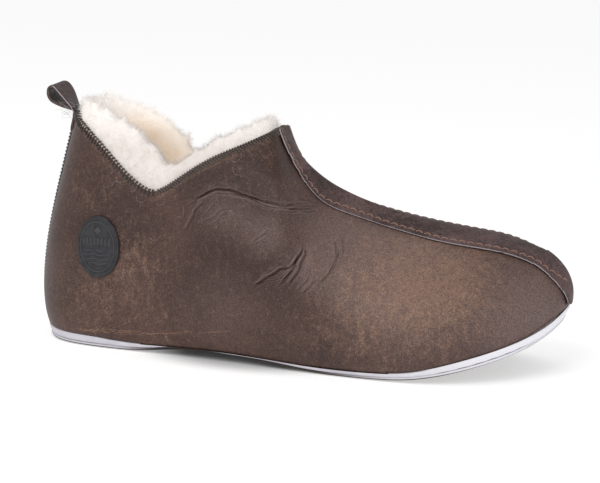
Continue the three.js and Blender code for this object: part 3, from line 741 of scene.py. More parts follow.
class SLIPPER_OT_upper(bpy.types.Operator):
    """Creased, worn leather for the upper"""

    bl_idname = "slipper.upper"
    bl_label = "Leather upper"

    def execute(self, context):
        settings = context.scene.slipper_leather
        piece = copy_of("upper", "leather_upper")
        leather_shader("Worn leather", settings).wear(piece)
        pelt = Shader("Pelt edge", Roughness=0.8).wear(piece)
        ahead = pelt.span(pelt.x, 68, 72)
        nap = pelt.noise(1.2, 3, 0.6)
        cream = pelt.mix(pelt.span(nap, 0.35, 0.65), (0.42, 0.27, 0.17), (0.72, 0.58, 0.44))
        pelt.colour(pelt.mix(ahead, cream, (0.045, 0.028, 0.024)))
        for face in piece.data.polygons:
            corners = [piece.data.vertices[v].co for v in face.vertices]
            lengths = [(a - b).length / MM for a, b in zip(corners, corners[1:] + corners[:1])]
            short = sum(length < 2.3 for length in lengths)
            x = face.center.x / MM - HEEL_X
            edge = collar_edge(x)
            at_edge = x < 127.5 and face.center.z / MM > edge - 2.5
            if short >= 2 and at_edge and face.normal.z > 0.45:
                face.material_index = 1
        crease_edges(piece, lambda e: sharp(50)(e) and max(v.co.z for v in e.verts) < 0.045, 1.0)
        crease_edges(piece, lambda e: sharp(50)(e) and max(v.co.z for v in e.verts) > 0.075, 0.35)
        subdivide(piece, 2)
        self.relax(piece)
        self.refine(piece)
        self.fold(piece, settings.crease_depth)
        smooth(piece)
        finish_piece(piece, ["upper"])
        return {"FINISHED"}

    def refine(self, piece):
        """Finer faces where the creases are."""
        for reach in (5, 3.2, 1.8):
            mesh = piece.data
            count = len(mesh.polygons)
            centres = np.empty(count * 3)
            normals = np.empty(count * 3)
            mesh.polygons.foreach_get("center", centres)
            mesh.polygons.foreach_get("normal", normals)
            x, y, z = (centres.reshape(-1, 3) / MM - (HEEL_X, MIDDLE_Y, 0)).T
            normals = normals.reshape(-1, 3)
            away = np.full(count, 99.0)
            for _, wide, _, line in CREASES:
                away = np.minimum(away, np.abs(to_line(x, z, line)[0]) - reach * wide)
            chosen = (away < 0) & (normals[:, 1] < 0.25 * normals[:, 2] + 0.1) & (y < 0)
            mesh.vertices.foreach_set("select", np.zeros(len(mesh.vertices), bool))
            mesh.edges.foreach_set("select", np.zeros(len(mesh.edges), bool))
            mesh.polygons.foreach_set("select", chosen)
            only(piece)
            bpy.ops.object.mode_set(mode="EDIT")
            bpy.ops.mesh.select_mode(type="FACE")
            bpy.ops.mesh.subdivide(number_cuts=1, smoothness=1.0)
            bpy.ops.object.mode_set(mode="OBJECT")

    def relax(self, piece):
        """Take out the slight ridge below the front end of the collar."""
        p = read(piece)
        x, y, z = p.T
        edge = collar_edge(x)
        share = smoothstep(112, 126, x) * smoothstep(162, 144, x)
        share = share * smoothstep(55, 74, z) * smoothstep(9.5, 13, abs(y))
        share = share * np.where(x < 129, smoothstep(2.5, 7, edge - z), 1)
        ends = np.empty(len(piece.data.edges) * 2, np.int32)
        piece.data.edges.foreach_get("vertices", ends)
        a, b = ends.reshape(-1, 2).T
        degree = np.bincount(a, minlength=len(p)) + np.bincount(b, minlength=len(p))
        for _ in range(90):
            total = np.zeros_like(p)
            for axis in range(3):
                total[:, axis] = np.bincount(a, p[b, axis], len(p)) + np.bincount(b, p[a, axis], len(p))
            p += 0.5 * share[:, None] * (total / degree[:, None] - p)
        write(piece, p)

    def fold(self, piece, share):
        """Press the creases in, raise the soft folds, and note for the material where to paint shade in the
        creases and highlight on the ridges beside them, where the fine ripples run, and where the collar edge
        is rubbed.
        """
        p = read(piece)
        n = read(piece, "normal")
        x, y, z = p.T
        outer = (n * (p - np.stack([x, 0 * x, 0 * x + 42], 1))).sum(1) > 0
        near = smoothstep(2, -8, y)
        lift = np.zeros(len(p))
        mark = np.zeros(len(p))
        pale = np.zeros(len(p))
        for height, wide, line in SWELLS:
            d, along = to_line(x, z, line)
            lift += height * hump(d, wide) * fade(along, 0.35)
        for depth, wide, swell, line in CREASES:
            d, along = to_line(x, z, line)
            d = d + 0.2 * np.sin(0.45 * x + 0.6 * z) + 0.07 * np.sin(1.9 * x - 1.3 * z)
            waver = 1 + 0.25 * np.sin(0.9 * x + 0.7 * z)
            trough = hump(d, wide * waver)
            above = hump(d - 2.6 * wide, 2 * wide)
            below = hump(d + 2.6 * wide, 2 * wide)
            lift += depth * (0.35 * above + swell * below - trough) * fade(along)
            # Painted shade along the trough of each crease.
            mark += (0.3 + 0.65 * depth) * hump(d, 0.55 * wide) * fade(along)
            # Painted highlight on the ridges beside each crease, partly the paling of pull-up leather where it
            # bends.
            ridge = hump(d + 2.3 * wide, 1.1 * wide) + 0.5 * hump(d - 2.2 * wide, wide)
            pale += (0.3 + 0.65 * depth) * ridge * fade(along)
        reach = np.zeros(len(p))
        across = np.zeros(len(p))
        for wide, line in RIPPLES:
            d, along = to_line(x, z, line)
            weight = hump(d, wide) * fade(along, 0.25)
            across = np.where(weight > reach, d, across)
            reach = np.maximum(reach, weight)
        far = np.where(y > 0, 1.0, 0.0) * self.far_side(x, z)
        lift = share * np.where(outer, lift * near + far * smoothstep(2, 10, y), 0)
        lift += np.where(outer, 1.1 * smoothstep(275, 281, x) * smoothstep(43, 37, z), 0)
        below = collar_edge(x) - z
        inside = smoothstep(2.5, 6, below)
        inside = np.where(x > 128, 1, inside)
        write(piece, p + n * (lift * inside)[:, None])
        worn = np.where(outer & (x < 127), hump(below - 3.6, 0.8), 0)
        worn *= 0.25 + 0.55 * smoothstep(66, 80, x)
        store(piece, "edge", worn)
        # For the material: painted shade along the creases, painted highlight on the ridges beside them, and
        # where the ripples run.
        rows = (("fold", mark * near), ("pull_up_and_highlight", pale * near), ("reach", reach * near), ("across", across))
        for name, values in rows:
            store(piece, name, values * outer * inside)

    def far_side(self, x, z):
        """A few plain folds on the inner side, where the same flexing creases the leather."""
        lift = np.zeros(len(x))
        rows = [
            (1.1, 1.8, [(98, 84), (108, 87), (120, 85), (132, 82), (142, 82)]),
            (0.7, 1.6, [(112, 80), (124, 79), (136, 77)]),
            (1.0, 1.9, [(154, 64), (152, 56), (146, 48), (140, 42)]),
            (0.6, 1.6, [(164, 62), (163, 53), (158, 46)]),
        ]
        for depth, wide, line in rows:
            d, along = to_line(x, z, line)
            swell = 0.5 * hump(d + 2.1 * wide, 1.6 * wide)
            lift += depth * (swell - hump(d, wide)) * fade(along)
        return lift


class SLIPPER_OT_strip(bpy.types.Operator):
    """Suede strip over the instep, with its pale cut edge"""

    bl_idname = "slipper.strip"
    bl_label = "Instep strip"

    def execute(self, context):
        settings = context.scene.slipper_strip
        upper = tree_of(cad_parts["upper"])
        piece = copy_of("vamp_strip", "suede_strip")
        suede_shader("Strip suede", settings.suede, settings.nap).wear(piece)
        suede_shader("Cut edge", settings.cut_edge, [c * 1.3 for c in settings.cut_edge], 0.1).wear(piece)
        suede_shader("Edge shadow", (0.012, 0.009, 0.009), (0.02, 0.015, 0.014), 0.0).wear(piece)
        for face in piece.data.polygons:
            normal = upper.find_nearest(face.center)[1]
            face.material_index = 1 if abs(normal.dot(face.normal)) < 0.6 else 0
        crease_edges(piece, sharp(50), 0.6)
        subdivide(piece, 2)
        for face in piece.data.polygons:
            if face.material_index == 1:
                off = upper.find_nearest(face.center)[3] / MM
                face.material_index = 0 if off > 1.6 else 1 if off > 1.0 else 2
        p = read(piece)
        p[:, 2] -= 0.85 * smoothstep(279, 283, p[:, 0]) * smoothstep(44, 37, p[:, 2])
        write(piece, p)
        smooth(piece, 40)
        finish_piece(piece, ["vamp_strip"])
        return {"FINISHED"}


class SLIPPER_OT_lockstitch(bpy.types.Operator):
    """Rows of lockstitches along both edges of the strip"""

    bl_idname = "slipper.lockstitch"
    bl_label = "Lockstitches"

    def execute(self, context):
        settings = context.scene.slipper_strip
        strip = tree_of(bpy.data.objects["suede_strip"])
        paths = []
        for side, column in ((-1, 2), (1, 3)):
            points, normals = [], []
            for x in np.arange(*STITCHES_X, 0.25):
                half = np.interp(x, STRIP[:, 0], STRIP[:, column])
                y = np.interp(x, STRIP[:, 0], STRIP[:, 1]) + side * (half - settings.inset)
                hit, normal, _, _ = strip.ray_cast(place(x, y, 200), Vector((0, 0, -1)))
                if hit is not None:
                    points.append(hit)
                    normals.append(normal)
            marks = evenly(points, settings.pitch)
            for a, b in zip(marks[:-1], marks[1:]):
                path = []
                for t in np.linspace(0.1, 0.9, 8):
                    at = between(points, a + (b - a) * t)
                    up = between(normals, a + (b - a) * t).normalized()
                    along = (between(points, b) - between(points, a)).normalized()
                    inward = up.cross(along) * -side
                    rise = math.sin(math.pi * (t - 0.1) / 0.8)
                    path.append(at + up * (0.32 * rise**0.6 - 0.3) * MM + inward * 1.0 * rise * MM)
                paths.append(path)
        piece = threads("strip_lockstitches", paths, 0.4)
        thread_shader("Rust thread", settings.thread, [c * 1.6 for c in settings.thread]).wear(piece)
        finish_piece(piece)
        return {"FINISHED"}


class SLIPPER_OT_overlock(bpy.types.Operator):
    """Thread sewn over the collar edge"""

    bl_idname = "slipper.overlock"
    bl_label = "Collar overlock"

    def execute(self, context):
        upper = tree_of(bpy.data.objects["leather_upper"])
        rim, normals = self.collar_line(upper)
        turn = place(COLLAR_LOW_X, 0, 0).x
        marks = [k for k in evenly(rim, 2.0) if between(rim, k).x < turn]
        marks += [k for k in evenly(rim, 1.55) if between(rim, k).x > turn]
        back, front = [], []
        middle = place(0, 0, 0).y
        for k, mark in enumerate(marks):
            edge = between(rim, mark)
            out = between(normals, mark).normalized()
            along = (between(rim, min(mark + 1, len(rim) - 1)) - between(rim, max(mark - 1, 0))).normalized()
            down = out.cross(along)
            if down.z > 0:
                down = -down
            if edge.x < place(14, 0, 0).x and abs(edge.y - middle) < 9 * MM:
                continue
            ahead = edge.x > turn
            reach = (2.9 if ahead else 2.7) + 0.45 * math.sin(k * 2.4) + 0.25 * math.sin(k * 5.1)
            slant = 1.2 if ahead else 0.45
            rows = [
                (reach, 0.12, slant),
                (reach * 0.6, 0.4, slant * 0.6),
                (0.5, 0.44, 0.15),
                (-0.35, 0.05, 0.0),
                (-0.6, -0.8, -0.1),
                (-0.3, -1.9, -0.2),
                (0.8, -2.4, -0.3),
            ]
            path = []
            for a, b, c in rows:
                at = edge + (down * a + out * b + along * c) * MM
                if a >= 0.5 and b > 0:
                    ground, normal, _, _ = upper.find_nearest(at + out * 0.8 * MM)
                    at = ground + normal * b * MM
                path.append(at)
            (front if ahead else back).append(path)
        rows = (
            ("collar_overlock_back", back, 0.5, (0.012, 0.008, 0.007), (0.035, 0.023, 0.02)),
            ("collar_overlock_front", front, 0.42, (0.014, 0.01, 0.009), (0.12, 0.084, 0.068)),
        )
        for name, paths, radius, dark, light in rows:
            piece = threads(name, paths, radius)
            thread_shader(name.replace("_", " "), dark, light).wear(piece)
            finish_piece(piece)
        return {"FINISHED"}

    def collar_line(self, upper):
        """The leather's top edge, found by looking in at it from all round."""
        rim, normals = [], []
        for angle in np.radians(np.arange(4, 357, 0.4)):
            away = Vector((math.cos(angle), math.sin(angle), 0))
            low, high = 60.0, 140.0
            for _ in range(18):
                z = (low + high) / 2
                start = place(ANKLE_X, 0, z) + away * 0.2
                hit, _, _, distance = upper.ray_cast(start, -away)
                if hit is not None and distance < 0.197:
                    low = z
                else:
                    high = z
            start = place(ANKLE_X, 0, low - 1.6) + away * 0.2
            hit, normal, _, _ = upper.ray_cast(start, -away)
            top, _, _, _ = upper.ray_cast(place(ANKLE_X, 0, low - 0.05) + away * 0.2, -away)
            rim.append(top)
            normals.append(normal)
        return rim, normals


class SLIPPER_OT_seam(bpy.types.Operator):
    """Scalloped overlock down the back seam"""

    bl_idname = "slipper.seam"
    bl_label = "Back seam"

    def execute(self, context):
        upper = tree_of(bpy.data.objects["leather_upper"])
        paths = []
        for z in np.arange(9, 113, 1.95):
            path = []
            for y in np.linspace(-2.4, 2.4, 7):
                start = place(-60, y, z + 0.25 * y)
                hit, normal, _, _ = upper.ray_cast(start, Vector((1, 0, 0)))
                if hit is not None:
                    rise = 0.5 - 0.16 * abs(y)
                    path.append(hit + normal * rise * MM)
            if len(path) == 7:
                paths.append(path)
        piece = threads("back_seam", paths, 0.5)
        thread_shader("Navy thread", (0.018, 0.022, 0.032), (0.05, 0.06, 0.08)).wear(piece)
        finish_piece(piece)
        return {"FINISHED"}


class SLIPPER_OT_badge(bpy.types.Operator):
    """Plain oval rubber badge with ribs"""

    bl_idname = "slipper.badge"
    bl_label = "Side badge"

    def execute(self, context):
        piece = copy_of("side_badge", "rubber_badge")
        s = Shader("Badge rubber", Roughness=0.5, Specular_IOR_Level=0.35, Base_Color=(0.03, 0.029, 0.034, 1))
        s.wear(piece)
        x = s.minus(s.x, BADGE_X)
        z = s.minus(s.z, BADGE_Z)
        lean = s.plus(x, s.times(z, 0.05))
        across = s.math("DIVIDE", lean, BADGE_HALF[0])
        upward = s.math("DIVIDE", z, BADGE_HALF[1])
        round_ = s.math("SQRT", s.plus(s.math("POWER", across, 2), s.math("POWER", upward, 2)))
        ring = s.span(s.math("ABSOLUTE", s.minus(round_, 0.8)), 0.015, 0.045, 1, 0)
        wave = s.plus(z, s.times(s.math("SINE", s.times(x, 0.9)), 0.4))
        ribs = s.span(s.math("SINE", s.times(wave, 2.7)), 0.1, 0.8)
        low = s.times(s.span(z, -10.5, -10), s.span(z, -1.6, -1.2, 1, 0))
        bars = s.span(s.math("SINE", s.times(x, 3.0)), -0.2, 0.5)
        band = s.times(s.span(z, 0.4, 0.8), s.span(z, 4.6, 5.0, 1, 0))
        boss = s.plus(s.math("ABSOLUTE", x), s.math("ABSOLUTE", s.minus(z, 8.6)))
        boss = s.span(boss, 2.0, 2.6, 1, 0)
        field = s.plus(s.times(ribs, low), s.times(bars, band))
        field = s.times(s.plus(field, boss), s.span(round_, 0.68, 0.72, 1, 0))
        relief = s.plus(ring, field)
        grit = s.noise(1.6, 3, 0.7)
        height = s.plus(relief, s.times(grit, 0.25))
        tone = s.mix(s.span(s.noise(0.35, 3, 0.6), 0.35, 0.7), (0.018, 0.018, 0.021), (0.034, 0.032, 0.037))
        s.colour(s.mix(s.times(relief, 0.55), tone, (0.075, 0.07, 0.08)))
        s.bump(height, 0.9, 0.8)
        crease_edges(piece, sharp(40), 0.4)
        subdivide(piece, 2)
        smooth(piece)
        finish_piece(piece, ["side_badge"])
        return {"FINISHED"}


class SLIPPER_OT_loop(bpy.types.Operator):
    """Folded leather loop at the top of the back seam"""

    bl_idname = "slipper.loop"
    bl_label = "Heel loop"

    def execute(self, context):
        near = [
            (16.2, 122.6), (13.6, 125.4), (10.6, 128.5), (8.0, 131.2), (6.2, 133), (4.6, 133.9),
            (3.2, 133.8),
        ]
        near += [
            (2.2, 132.8), (1.85, 131), (2.1, 128.8), (3.3, 126.6), (5.3, 125.4), (7.6, 124.6),
            (9.8, 123.7),
        ]
        far = [
            (13.4, 122.6), (12.2, 125.6), (11.2, 128.4), (10.1, 130.8), (8.7, 133), (7, 134.7),
            (5.2, 135.1),
        ]
        far += [
            (3.3, 134.5), (1.9, 132.9), (1.6, 130.6), (2.4, 128.2), (4.4, 126.4), (6.8, 125.2),
            (9.2, 124.1),
        ]
        upper = tree_of(bpy.data.objects["leather_upper"])
        rows = np.linspace(-LOOP_HALF, LOOP_HALF, 9)
        shares = (rows + LOOP_HALF) / (2 * LOOP_HALF)
        line = [np.array(a) + np.outer(shares, np.subtract(b, a)) for a, b in zip(near, far)]
        for z in (122.2, 120.4, 118.2, 115.8, 113.4, 111.9):
            row = []
            for y in rows:
                hit, _, _, _ = upper.ray_cast(place(-60, y, min(z, 120.6)), Vector((1, 0, 0)))
                back = hit.x / MM - HEEL_X if hit is not None else 12.5
                row.append((back - 0.7 - 0.35 * max(z - 119, 0), z))
            line.append(np.array(row))
        points, faces = [], []
        for row in line:
            for y, (x, z) in zip(rows, row):
                points.append(place(x, y, z))
        for k in range(len(line) - 1):
            for j in range(len(rows) - 1):
                a = k * len(rows) + j
                faces.append((a, a + 1, a + 1 + len(rows), a + len(rows)))
        mesh = bpy.data.meshes.new("heel_loop")
        mesh.from_pydata(points, [], faces)
        piece = new_piece("heel_loop", mesh)
        modify(piece, "SOLIDIFY", thickness=LOOP_THICK * MM, offset=0)
        crease_edges(piece, sharp(60), 0.45)
        subdivide(piece, 2)
        smooth(piece)
        s = Shader("Loop leather", Roughness=0.5, Specular_IOR_Level=0.4).wear(piece)
        fleck = s.noise(0.5, 4, 0.7, 0.5)
        speck = s.noise(1.4, 3, 0.7)
        share = s.plus(s.times(fleck, 0.6), s.times(speck, 0.4))
        s.colour(s.mix(s.span(share, 0.4, 0.62), (0.034, 0.022, 0.02), (0.11, 0.075, 0.067)))
        s.bump(s.plus(speck, s.noise(0.5, 4, 0.6, 1.0)), 0.5, 0.3)
        finish_piece(piece, ["pull_loop"])
        return {"FINISHED"}


class SLIPPER_OT_fleece(bpy.types.Operator):
    """Deep fleece lining with a soft edge of fibres"""

    bl_idname = "slipper.fleece"
    bl_label = "Fleece lining"

    def execute(self, context):
        settings = context.scene.slipper_fleece
        piece = copy_of("wool_lining", "fleece_lining")
        modify(piece, "REMESH", mode="VOXEL", voxel_size=1.7 * MM, use_smooth_shade=True)
        modify(piece, "SMOOTH", factor=0.6, iterations=4)
        for name, scale, height in (("Curls", 0.007, 1.6), ("Tufts", 0.003, 0.6)):
            clouds = bpy.data.textures.new(name, "CLOUDS")
            clouds.noise_scale = scale
            strength = height * MM
            modify(piece, "DISPLACE", texture=clouds, strength=strength, mid_level=0.5, texture_coords="LOCAL")
        smooth(piece)
        fleece_shader("Fleece", settings).wear(piece)
        finish_piece(piece, ["wool_lining"])
        rng = np.random.default_rng(7)
        rim = self.fibres(piece, "collar_fibres", rng, settings.fibres, settings.fibre_length, True)
        inner = self.fibres(piece, "lining_fibres", rng, settings.fibres // 2, settings.fibre_length, False)
        fleece_shader("Fleece fringe", settings, 0.8).wear(rim)
        fleece_shader("Fleece pile", settings).wear(inner)
        for extra in (rim, inner):
            finish_piece(extra)
        return {"FINISHED"}

    def fibres(self, ground, name, rng, count, length, rim):
        """Flat tapering fibres rooted on the fleece, shaded with its normals so that they look soft."""
        mesh = ground.data
        mesh.calc_loop_triangles()
        corners = np.empty(len(mesh.loop_triangles) * 3, np.int32)
        mesh.loop_triangles.foreach_get("vertices", corners)
        corners = corners.reshape(-1, 3)
        p = read(ground)
        n = read(ground, "normal")
        tri = p[corners]
        middle = tri.mean(1)
        area = np.linalg.norm(np.cross(tri[:, 1] - tri[:, 0], tri[:, 2] - tri[:, 0]), axis=1)
        below = collar_edge(middle[:, 0]) - middle[:, 2]
        ankle = middle[:, 0] < 133
        if rim:
            spread = n[corners[:, 0], :2] * (middle[:, :2] - (66, 0))
            covered = (spread.sum(1) > 0) & (below > -0.8)
            weight = area * ankle * smoothstep(9, 1, below) * ~covered
        else:
            inward = (n[corners[:, 0]] * (np.array([66, 0, 60]) - middle)).sum(1) > 0
            weight = area * ankle * inward * smoothstep(2, 8, below) * (0.3 + 0.7 * (below < 45))
        pick = rng.choice(len(area), count, p=weight / weight.sum())
        share = rng.dirichlet((1, 1, 1), count)[:, :, None]
        root = (tri[pick] * share).sum(1)
        out = unit(n[corners[pick]].mean(1))
        wild = rng.normal(size=(count, 3))
        flow = unit(wild - out * (wild * out).sum(1)[:, None])
        aim = out * rng.uniform(0.35, 0.9, (count, 1)) + flow * rng.uniform(0.2, 0.9, (count, 1))
        aim = unit(aim + (0, 0, 0.3))
        bend = rng.normal(size=(count, 3)) * 0.3
        size = length * rng.uniform(0.45, 1.25, (count, 1)) * (1 if rim else 1.15)
        across = np.cross(out, aim)
        across /= np.linalg.norm(across, axis=1)[:, None] + 1e-9
        wide = rng.uniform(0.06, 0.12, (count, 1)) * (1 if rim else 2)
        rows = []
        for t in (0, 0.3, 0.62, 1):
            at = root - out * 0.8 + size * (aim * t + bend * t * t * 0.5)
            half = across * wide * (1 - t**1.5)
            rows += [at - half, at + half] if t < 1 else [at]
        points = np.stack(rows, 1)
        each = points.shape[1]
        base = np.arange(count)[:, None] * each
        quads = np.concatenate([base + [1, 0, 2, 3], base + [3, 2, 4, 5]])
        tips = base + [5, 4, 6]
        flat = (points.reshape(-1, 3) + (HEEL_X, MIDDLE_Y, 0)) * MM
        made = bpy.data.meshes.new(name)
        made.from_pydata(flat.tolist(), [], quads.tolist() + tips.tolist())
        extra = new_piece(name, made)
        smooth(extra)
        soft = unit(np.repeat(out * 0.85 + aim * 0.15, each, axis=0))
        made.normals_split_custom_set_from_vertices(soft.tolist())
        return extra


class SLIPPER_OT_sole(bpy.types.Operator):
    """Foam midsole, suede outsole and fleece insole"""

    bl_idname = "slipper.sole"
    bl_label = "Sole"

    def execute(self, context):
        foam = copy_of("midsole", "foam_midsole")
        s = Shader("Foam", Roughness=0.75).wear(foam)
        pores = s.noise(1.1, 3, 0.7)
        smudge = s.noise(0.05, 4, 0.6, 0.5)
        body = s.mix(s.span(smudge, 0.35, 0.7), (0.53, 0.51, 0.56), (0.63, 0.62, 0.66))
        # Painted light: the foam is lighter towards the toe, where more light falls on it.
        body = s.mix(s.span(s.x, 170, 262), body, (0.86, 0.85, 0.9))
        body = s.mix(s.span(pores, 0.6, 0.75, 0, 0.35), body, (0.45, 0.42, 0.45))
        level = s.minus(s.span(s.x, 58, 86, 1.2, 5.4), s.span(s.x, 96, 168, 0, 4.2))
        shaded = s.span(s.minus(s.z, level), -0.3, 0.3, 1, 0)
        shaded = s.times(shaded, s.span(s.y, -20, -10, 1, 0))
        s.colour(s.mix(s.times(shaded, s.span(s.x, 160, 175, 1, 0)), body, (0.05, 0.04, 0.036)))
        s.bump(pores, 0.4, 0.25)
        # Painted shade: the foam's top ledge is dark under the leather's overhang, and pale towards the toe.
        ledge = Shader("Foam top", Roughness=0.85).wear(foam)
        ledge.colour(ledge.mix(ledge.span(ledge.x, 215, 262), (0.035, 0.025, 0.022), (0.62, 0.6, 0.64)))
        for face in foam.data.polygons:
            face.material_index = 1 if face.normal.z > 0.6 else 0
        outsole = copy_of("outsole", "suede_outsole")
        suede_shader("Outsole suede", (0.03, 0.02, 0.018), (0.06, 0.042, 0.036), 0.2).wear(outsole)
        rim = Shader("Outsole edge", Roughness=0.85).wear(outsole)
        # Painted shade: the outsole's edge is dark at the outer waist, under the overhanging leather.
        waist = rim.times(rim.span(rim.x, 48, 74), rim.span(rim.x, 160, 205, 1, 0))
        waist = rim.times(waist, rim.span(rim.y, -20, -10, 1, 0))
        # Painted light: the edge is lighter towards the toe, like the foam.
        light = rim.mix(rim.span(rim.x, 170, 262), (0.58, 0.56, 0.61), (0.78, 0.77, 0.82))
        high = rim.attribute("top")
        low = rim.times(rim.span(high, 0.36, 0.5, 1, 0), rim.span(rim.x, 215, 262, 1, 0.3))
        light = rim.mix(low, light, (0.1, 0.075, 0.066))
        rim.colour(rim.mix(waist, light, (0.04, 0.03, 0.027)))
        for face in outsole.data.polygons:
            face.material_index = 1 if face.normal.z > -0.5 else 0
        upper_ring = np.zeros(len(outsole.data.vertices), np.float32)
        for face in outsole.data.polygons:
            if face.normal.z > 0.5:
                upper_ring[list(face.vertices)] = 1
        store(outsole, "top", upper_ring)
        insole = copy_of("insole", "fleece_insole")
        fleece_shader("Insole fleece", context.scene.slipper_fleece).wear(insole)
        for piece, slot, node in (
            (foam, "foam", "midsole"),
            (outsole, "outsole_suede", "outsole"),
            (insole, "insole_fleece", "insole"),
        ):
            crease_edges(piece, sharp(60), 1.0)
            subdivide(piece, 2)
            smooth(piece, 50)
            if piece is not insole:
                p = read(piece)
                n = read(piece, "normal")
                if piece is outsole:
                    ring = np.empty(len(p), np.float32)
                    piece.data.attributes["top"].data.foreach_get("value", ring)
                    n[:, :2] *= 6 * smoothstep(276, 258, p[:, 0])[:, None] + 1
                    n[:, 2] += 2.5 * ring
                write(piece, self.arched(p + SOLE_SWELL * n))
            finish_piece(piece, [node])
        return {"FINISHED"}

    def arched(self, p):
        """Lift the outer edge of the waist a little off the floor, and leave nothing below the floor."""
        x, y, z = p.T
        lift = ARCH_LIFT * smoothstep(56, 92, x) * smoothstep(170, 110, x) * smoothstep(-12, -36, y)
        p[:, 2] = np.maximum(z + lift * smoothstep(5.5, 1.5, z), 0)
        return p


class SLIPPER_OT_lint(bpy.types.Operator):
    """Stray fibres of fleece caught on the leather"""

    bl_idname = "slipper.lint"
    bl_label = "Stray fibres"

    def execute(self, context):
        upper = tree_of(bpy.data.objects["leather_upper"])
        rng = np.random.default_rng(3)
        starts = [
            (46, 93), (49, 91), (52, 88), (57, 85), (61, 83), (72, 80), (110, 104), (112, 102),
            (84, 74), (70, 62),
        ]
        paths = []
        for x, z in starts:
            turn = rng.uniform(0, 2 * math.pi)
            path = []
            for t in np.linspace(0, 1, 7):
                step = 5.5 * t * rng.uniform(0.9, 1.1)
                sx = x + step * math.cos(turn + 1.6 * t)
                sz = z + step * math.sin(turn + 1.6 * t)
                hit, normal, _, _ = upper.ray_cast(place(sx, -90, sz), Vector((0, 1, 0)))
                if hit is not None:
                    path.append(hit + normal * (0.12 + 0.5 * t * t) * MM)
            if len(path) > 3:
                paths.append(path)
        for _ in range(16):
            x, z = rng.uniform(12.5, 18), rng.uniform(117, 124.5)
            turn = rng.uniform(0.9, 3.0)
            size = rng.uniform(3, 8)
            path = []
            for t in np.linspace(0, 1, 7):
                sx = x + size * t * math.cos(turn + 0.9 * t)
                sz = z + size * t * math.sin(turn + 0.9 * t)
                path.append(place(sx, -9.6 - 1.2 * t, sz))
            paths.append(path)
        piece = threads("stray_fibres", paths, 0.045)
        thread_shader("Stray fibre", (0.28, 0.25, 0.24), (0.42, 0.38, 0.36)).wear(piece)
        finish_piece(piece)
        strand = [(4.9, 134.3), (6.2, 133.4), (8.9, 130.6), (12.2, 127.2), (15.4, 123.8), (17.2, 120.8)]
        piece = threads("loop_strand", [[place(x, -9.75, z) for x, z in strand]], 0.26, 2)
        thread_shader("Pale strand", (0.3, 0.24, 0.26), (0.46, 0.38, 0.41)).wear(piece)
        finish_piece(piece)
        return {"FINISHED"}


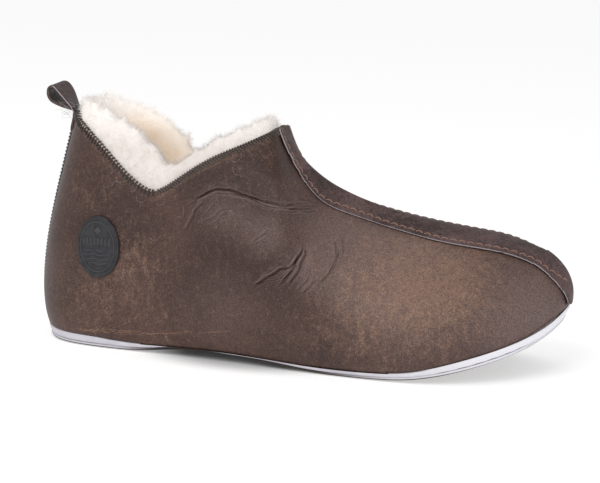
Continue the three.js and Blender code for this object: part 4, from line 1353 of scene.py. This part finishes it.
class SLIPPER_OT_stage(bpy.types.Operator):
    """White floor, soft light and the camera"""

    bl_idname = "slipper.stage"
    bl_label = "Stage"

    def execute(self, context):
        settings = context.scene.slipper_stage
        bpy.ops.object.select_all(action="DESELECT")
        bpy.ops.mesh.primitive_plane_add(size=14)
        floor = context.active_object
        floor.name = "floor"
        s = Shader("Floor", Roughness=0.9, Specular_IOR_Level=0.0, Emission_Strength=0.5).wear(floor)
        s.surface.inputs["Base Color"].default_value = (*settings.floor, 1)
        ahead = s.math("DIVIDE", s.minus(s.x, SHADE_MIDDLE[0]), SHADE_HALF[0])
        aside = s.math("DIVIDE", s.minus(s.y, SHADE_MIDDLE[1]), SHADE_HALF[1])
        away = s.math("SQRT", s.plus(s.math("POWER", ahead, 2), s.math("POWER", aside, 2)))
        s.set("Emission Color", s.mix(s.span(away, 0.5, 1.05), (0.05, 0.05, 0.05), (1, 1, 1)))
        world = bpy.data.worlds.new("Studio")
        context.scene.world = world
        world.use_nodes = True
        background = world.node_tree.nodes["Background"]
        background.inputs[0].default_value = (1, 1, 1, 1)
        background.inputs[1].default_value = settings.sky
        context.scene.view_settings.view_transform = "Standard"
        self.lamp("key", (-0.35, -1.25, 1.1), (0, 0, 0.05), 1.0, settings.key)
        self.lamp("fill", (1.1, -0.9, 0.7), (0.05, 0, 0.05), 0.8, settings.fill)
        self.camera(context)
        return {"FINISHED"}

    def lamp(self, name, at, to, size, power):
        light = bpy.data.lights.new(name, "AREA")
        light.size = size
        light.energy = power
        lamp = bpy.data.objects.new(name, light)
        bpy.context.scene.collection.objects.link(lamp)
        lamp.location = at
        lamp.rotation_euler = (Vector(to) - Vector(at)).to_track_quat("-Z", "Y").to_euler()

    def camera(self, context):
        yaw, pitch, roll = (math.radians(degrees) for degrees in CAMERA_DEGREES)
        back = Vector((math.sin(yaw) * math.cos(pitch), -math.cos(yaw) * math.cos(pitch), math.sin(pitch)))
        level = Vector((math.cos(yaw), math.sin(yaw), 0))
        rise = back.cross(level)
        right = level * math.cos(roll) + rise * math.sin(roll)
        up = rise * math.cos(roll) - level * math.sin(roll)
        data = bpy.data.cameras.new("camera")
        data.sensor_width = SENSOR_WIDTH
        data.lens = FOCAL_PIXELS / PICTURE_PIXELS * SENSOR_WIDTH
        data.shift_x = -2.9 / PICTURE_PIXELS
        data.shift_y = -0.9 / PICTURE_PIXELS
        camera = bpy.data.objects.new("camera", data)
        context.scene.collection.objects.link(camera)
        turn = Matrix((right, up, back)).transposed().to_4x4()
        camera.matrix_world = Matrix.Translation(place(*CAMERA_AIM) + back * CAMERA_AWAY) @ turn
        context.scene.camera = camera


OPERATORS = (
    SLIPPER_OT_upper,
    SLIPPER_OT_strip,
    SLIPPER_OT_lockstitch,
    SLIPPER_OT_loop,
    SLIPPER_OT_overlock,
    SLIPPER_OT_seam,
    SLIPPER_OT_badge,
    SLIPPER_OT_fleece,
    SLIPPER_OT_sole,
    SLIPPER_OT_lint,
    SLIPPER_OT_stage,
)
GROUPS = {
    "slipper_leather": LeatherSettings,
    "slipper_strip": StripSettings,
    "slipper_fleece": FleeceSettings,
    "slipper_stage": StageSettings,
}


class SLIPPER_PT_panel(bpy.types.Panel):
    """Settings and steps of the slipper"""

    bl_idname = "SLIPPER_PT_panel"
    bl_label = "Leather slipper"
    bl_space_type = "VIEW_3D"
    bl_region_type = "UI"
    bl_category = "Slipper"

    def draw(self, context):
        for key, group in GROUPS.items():
            box = self.layout.box()
            box.label(text=group.__name__.replace("Settings", ""))
            for name in group.__annotations__:
                box.prop(getattr(context.scene, key), name)
        for operator in OPERATORS:
            self.layout.operator(operator.bl_idname)


def register():
    for group in GROUPS.values():
        bpy.utils.register_class(group)
    for key, group in GROUPS.items():
        setattr(bpy.types.Scene, key, bpy.props.PointerProperty(type=group))
    for operator in OPERATORS:
        bpy.utils.register_class(operator)
    bpy.utils.register_class(SLIPPER_PT_panel)


def unregister():
    bpy.utils.unregister_class(SLIPPER_PT_panel)
    for operator in reversed(OPERATORS):
        bpy.utils.unregister_class(operator)
    for key in GROUPS:
        delattr(bpy.types.Scene, key)
    for group in GROUPS.values():
        bpy.utils.unregister_class(group)


def main():
    register()
    bpy.ops.slipper.upper()
    bpy.ops.slipper.strip()
    bpy.ops.slipper.lockstitch()
    bpy.ops.slipper.loop()
    bpy.ops.slipper.overlock()
    bpy.ops.slipper.seam()
    bpy.ops.slipper.badge()
    bpy.ops.slipper.fleece()
    bpy.ops.slipper.sole()
    bpy.ops.slipper.lint()
    bpy.ops.slipper.stage()


if __name__ == "__main__":
    main()
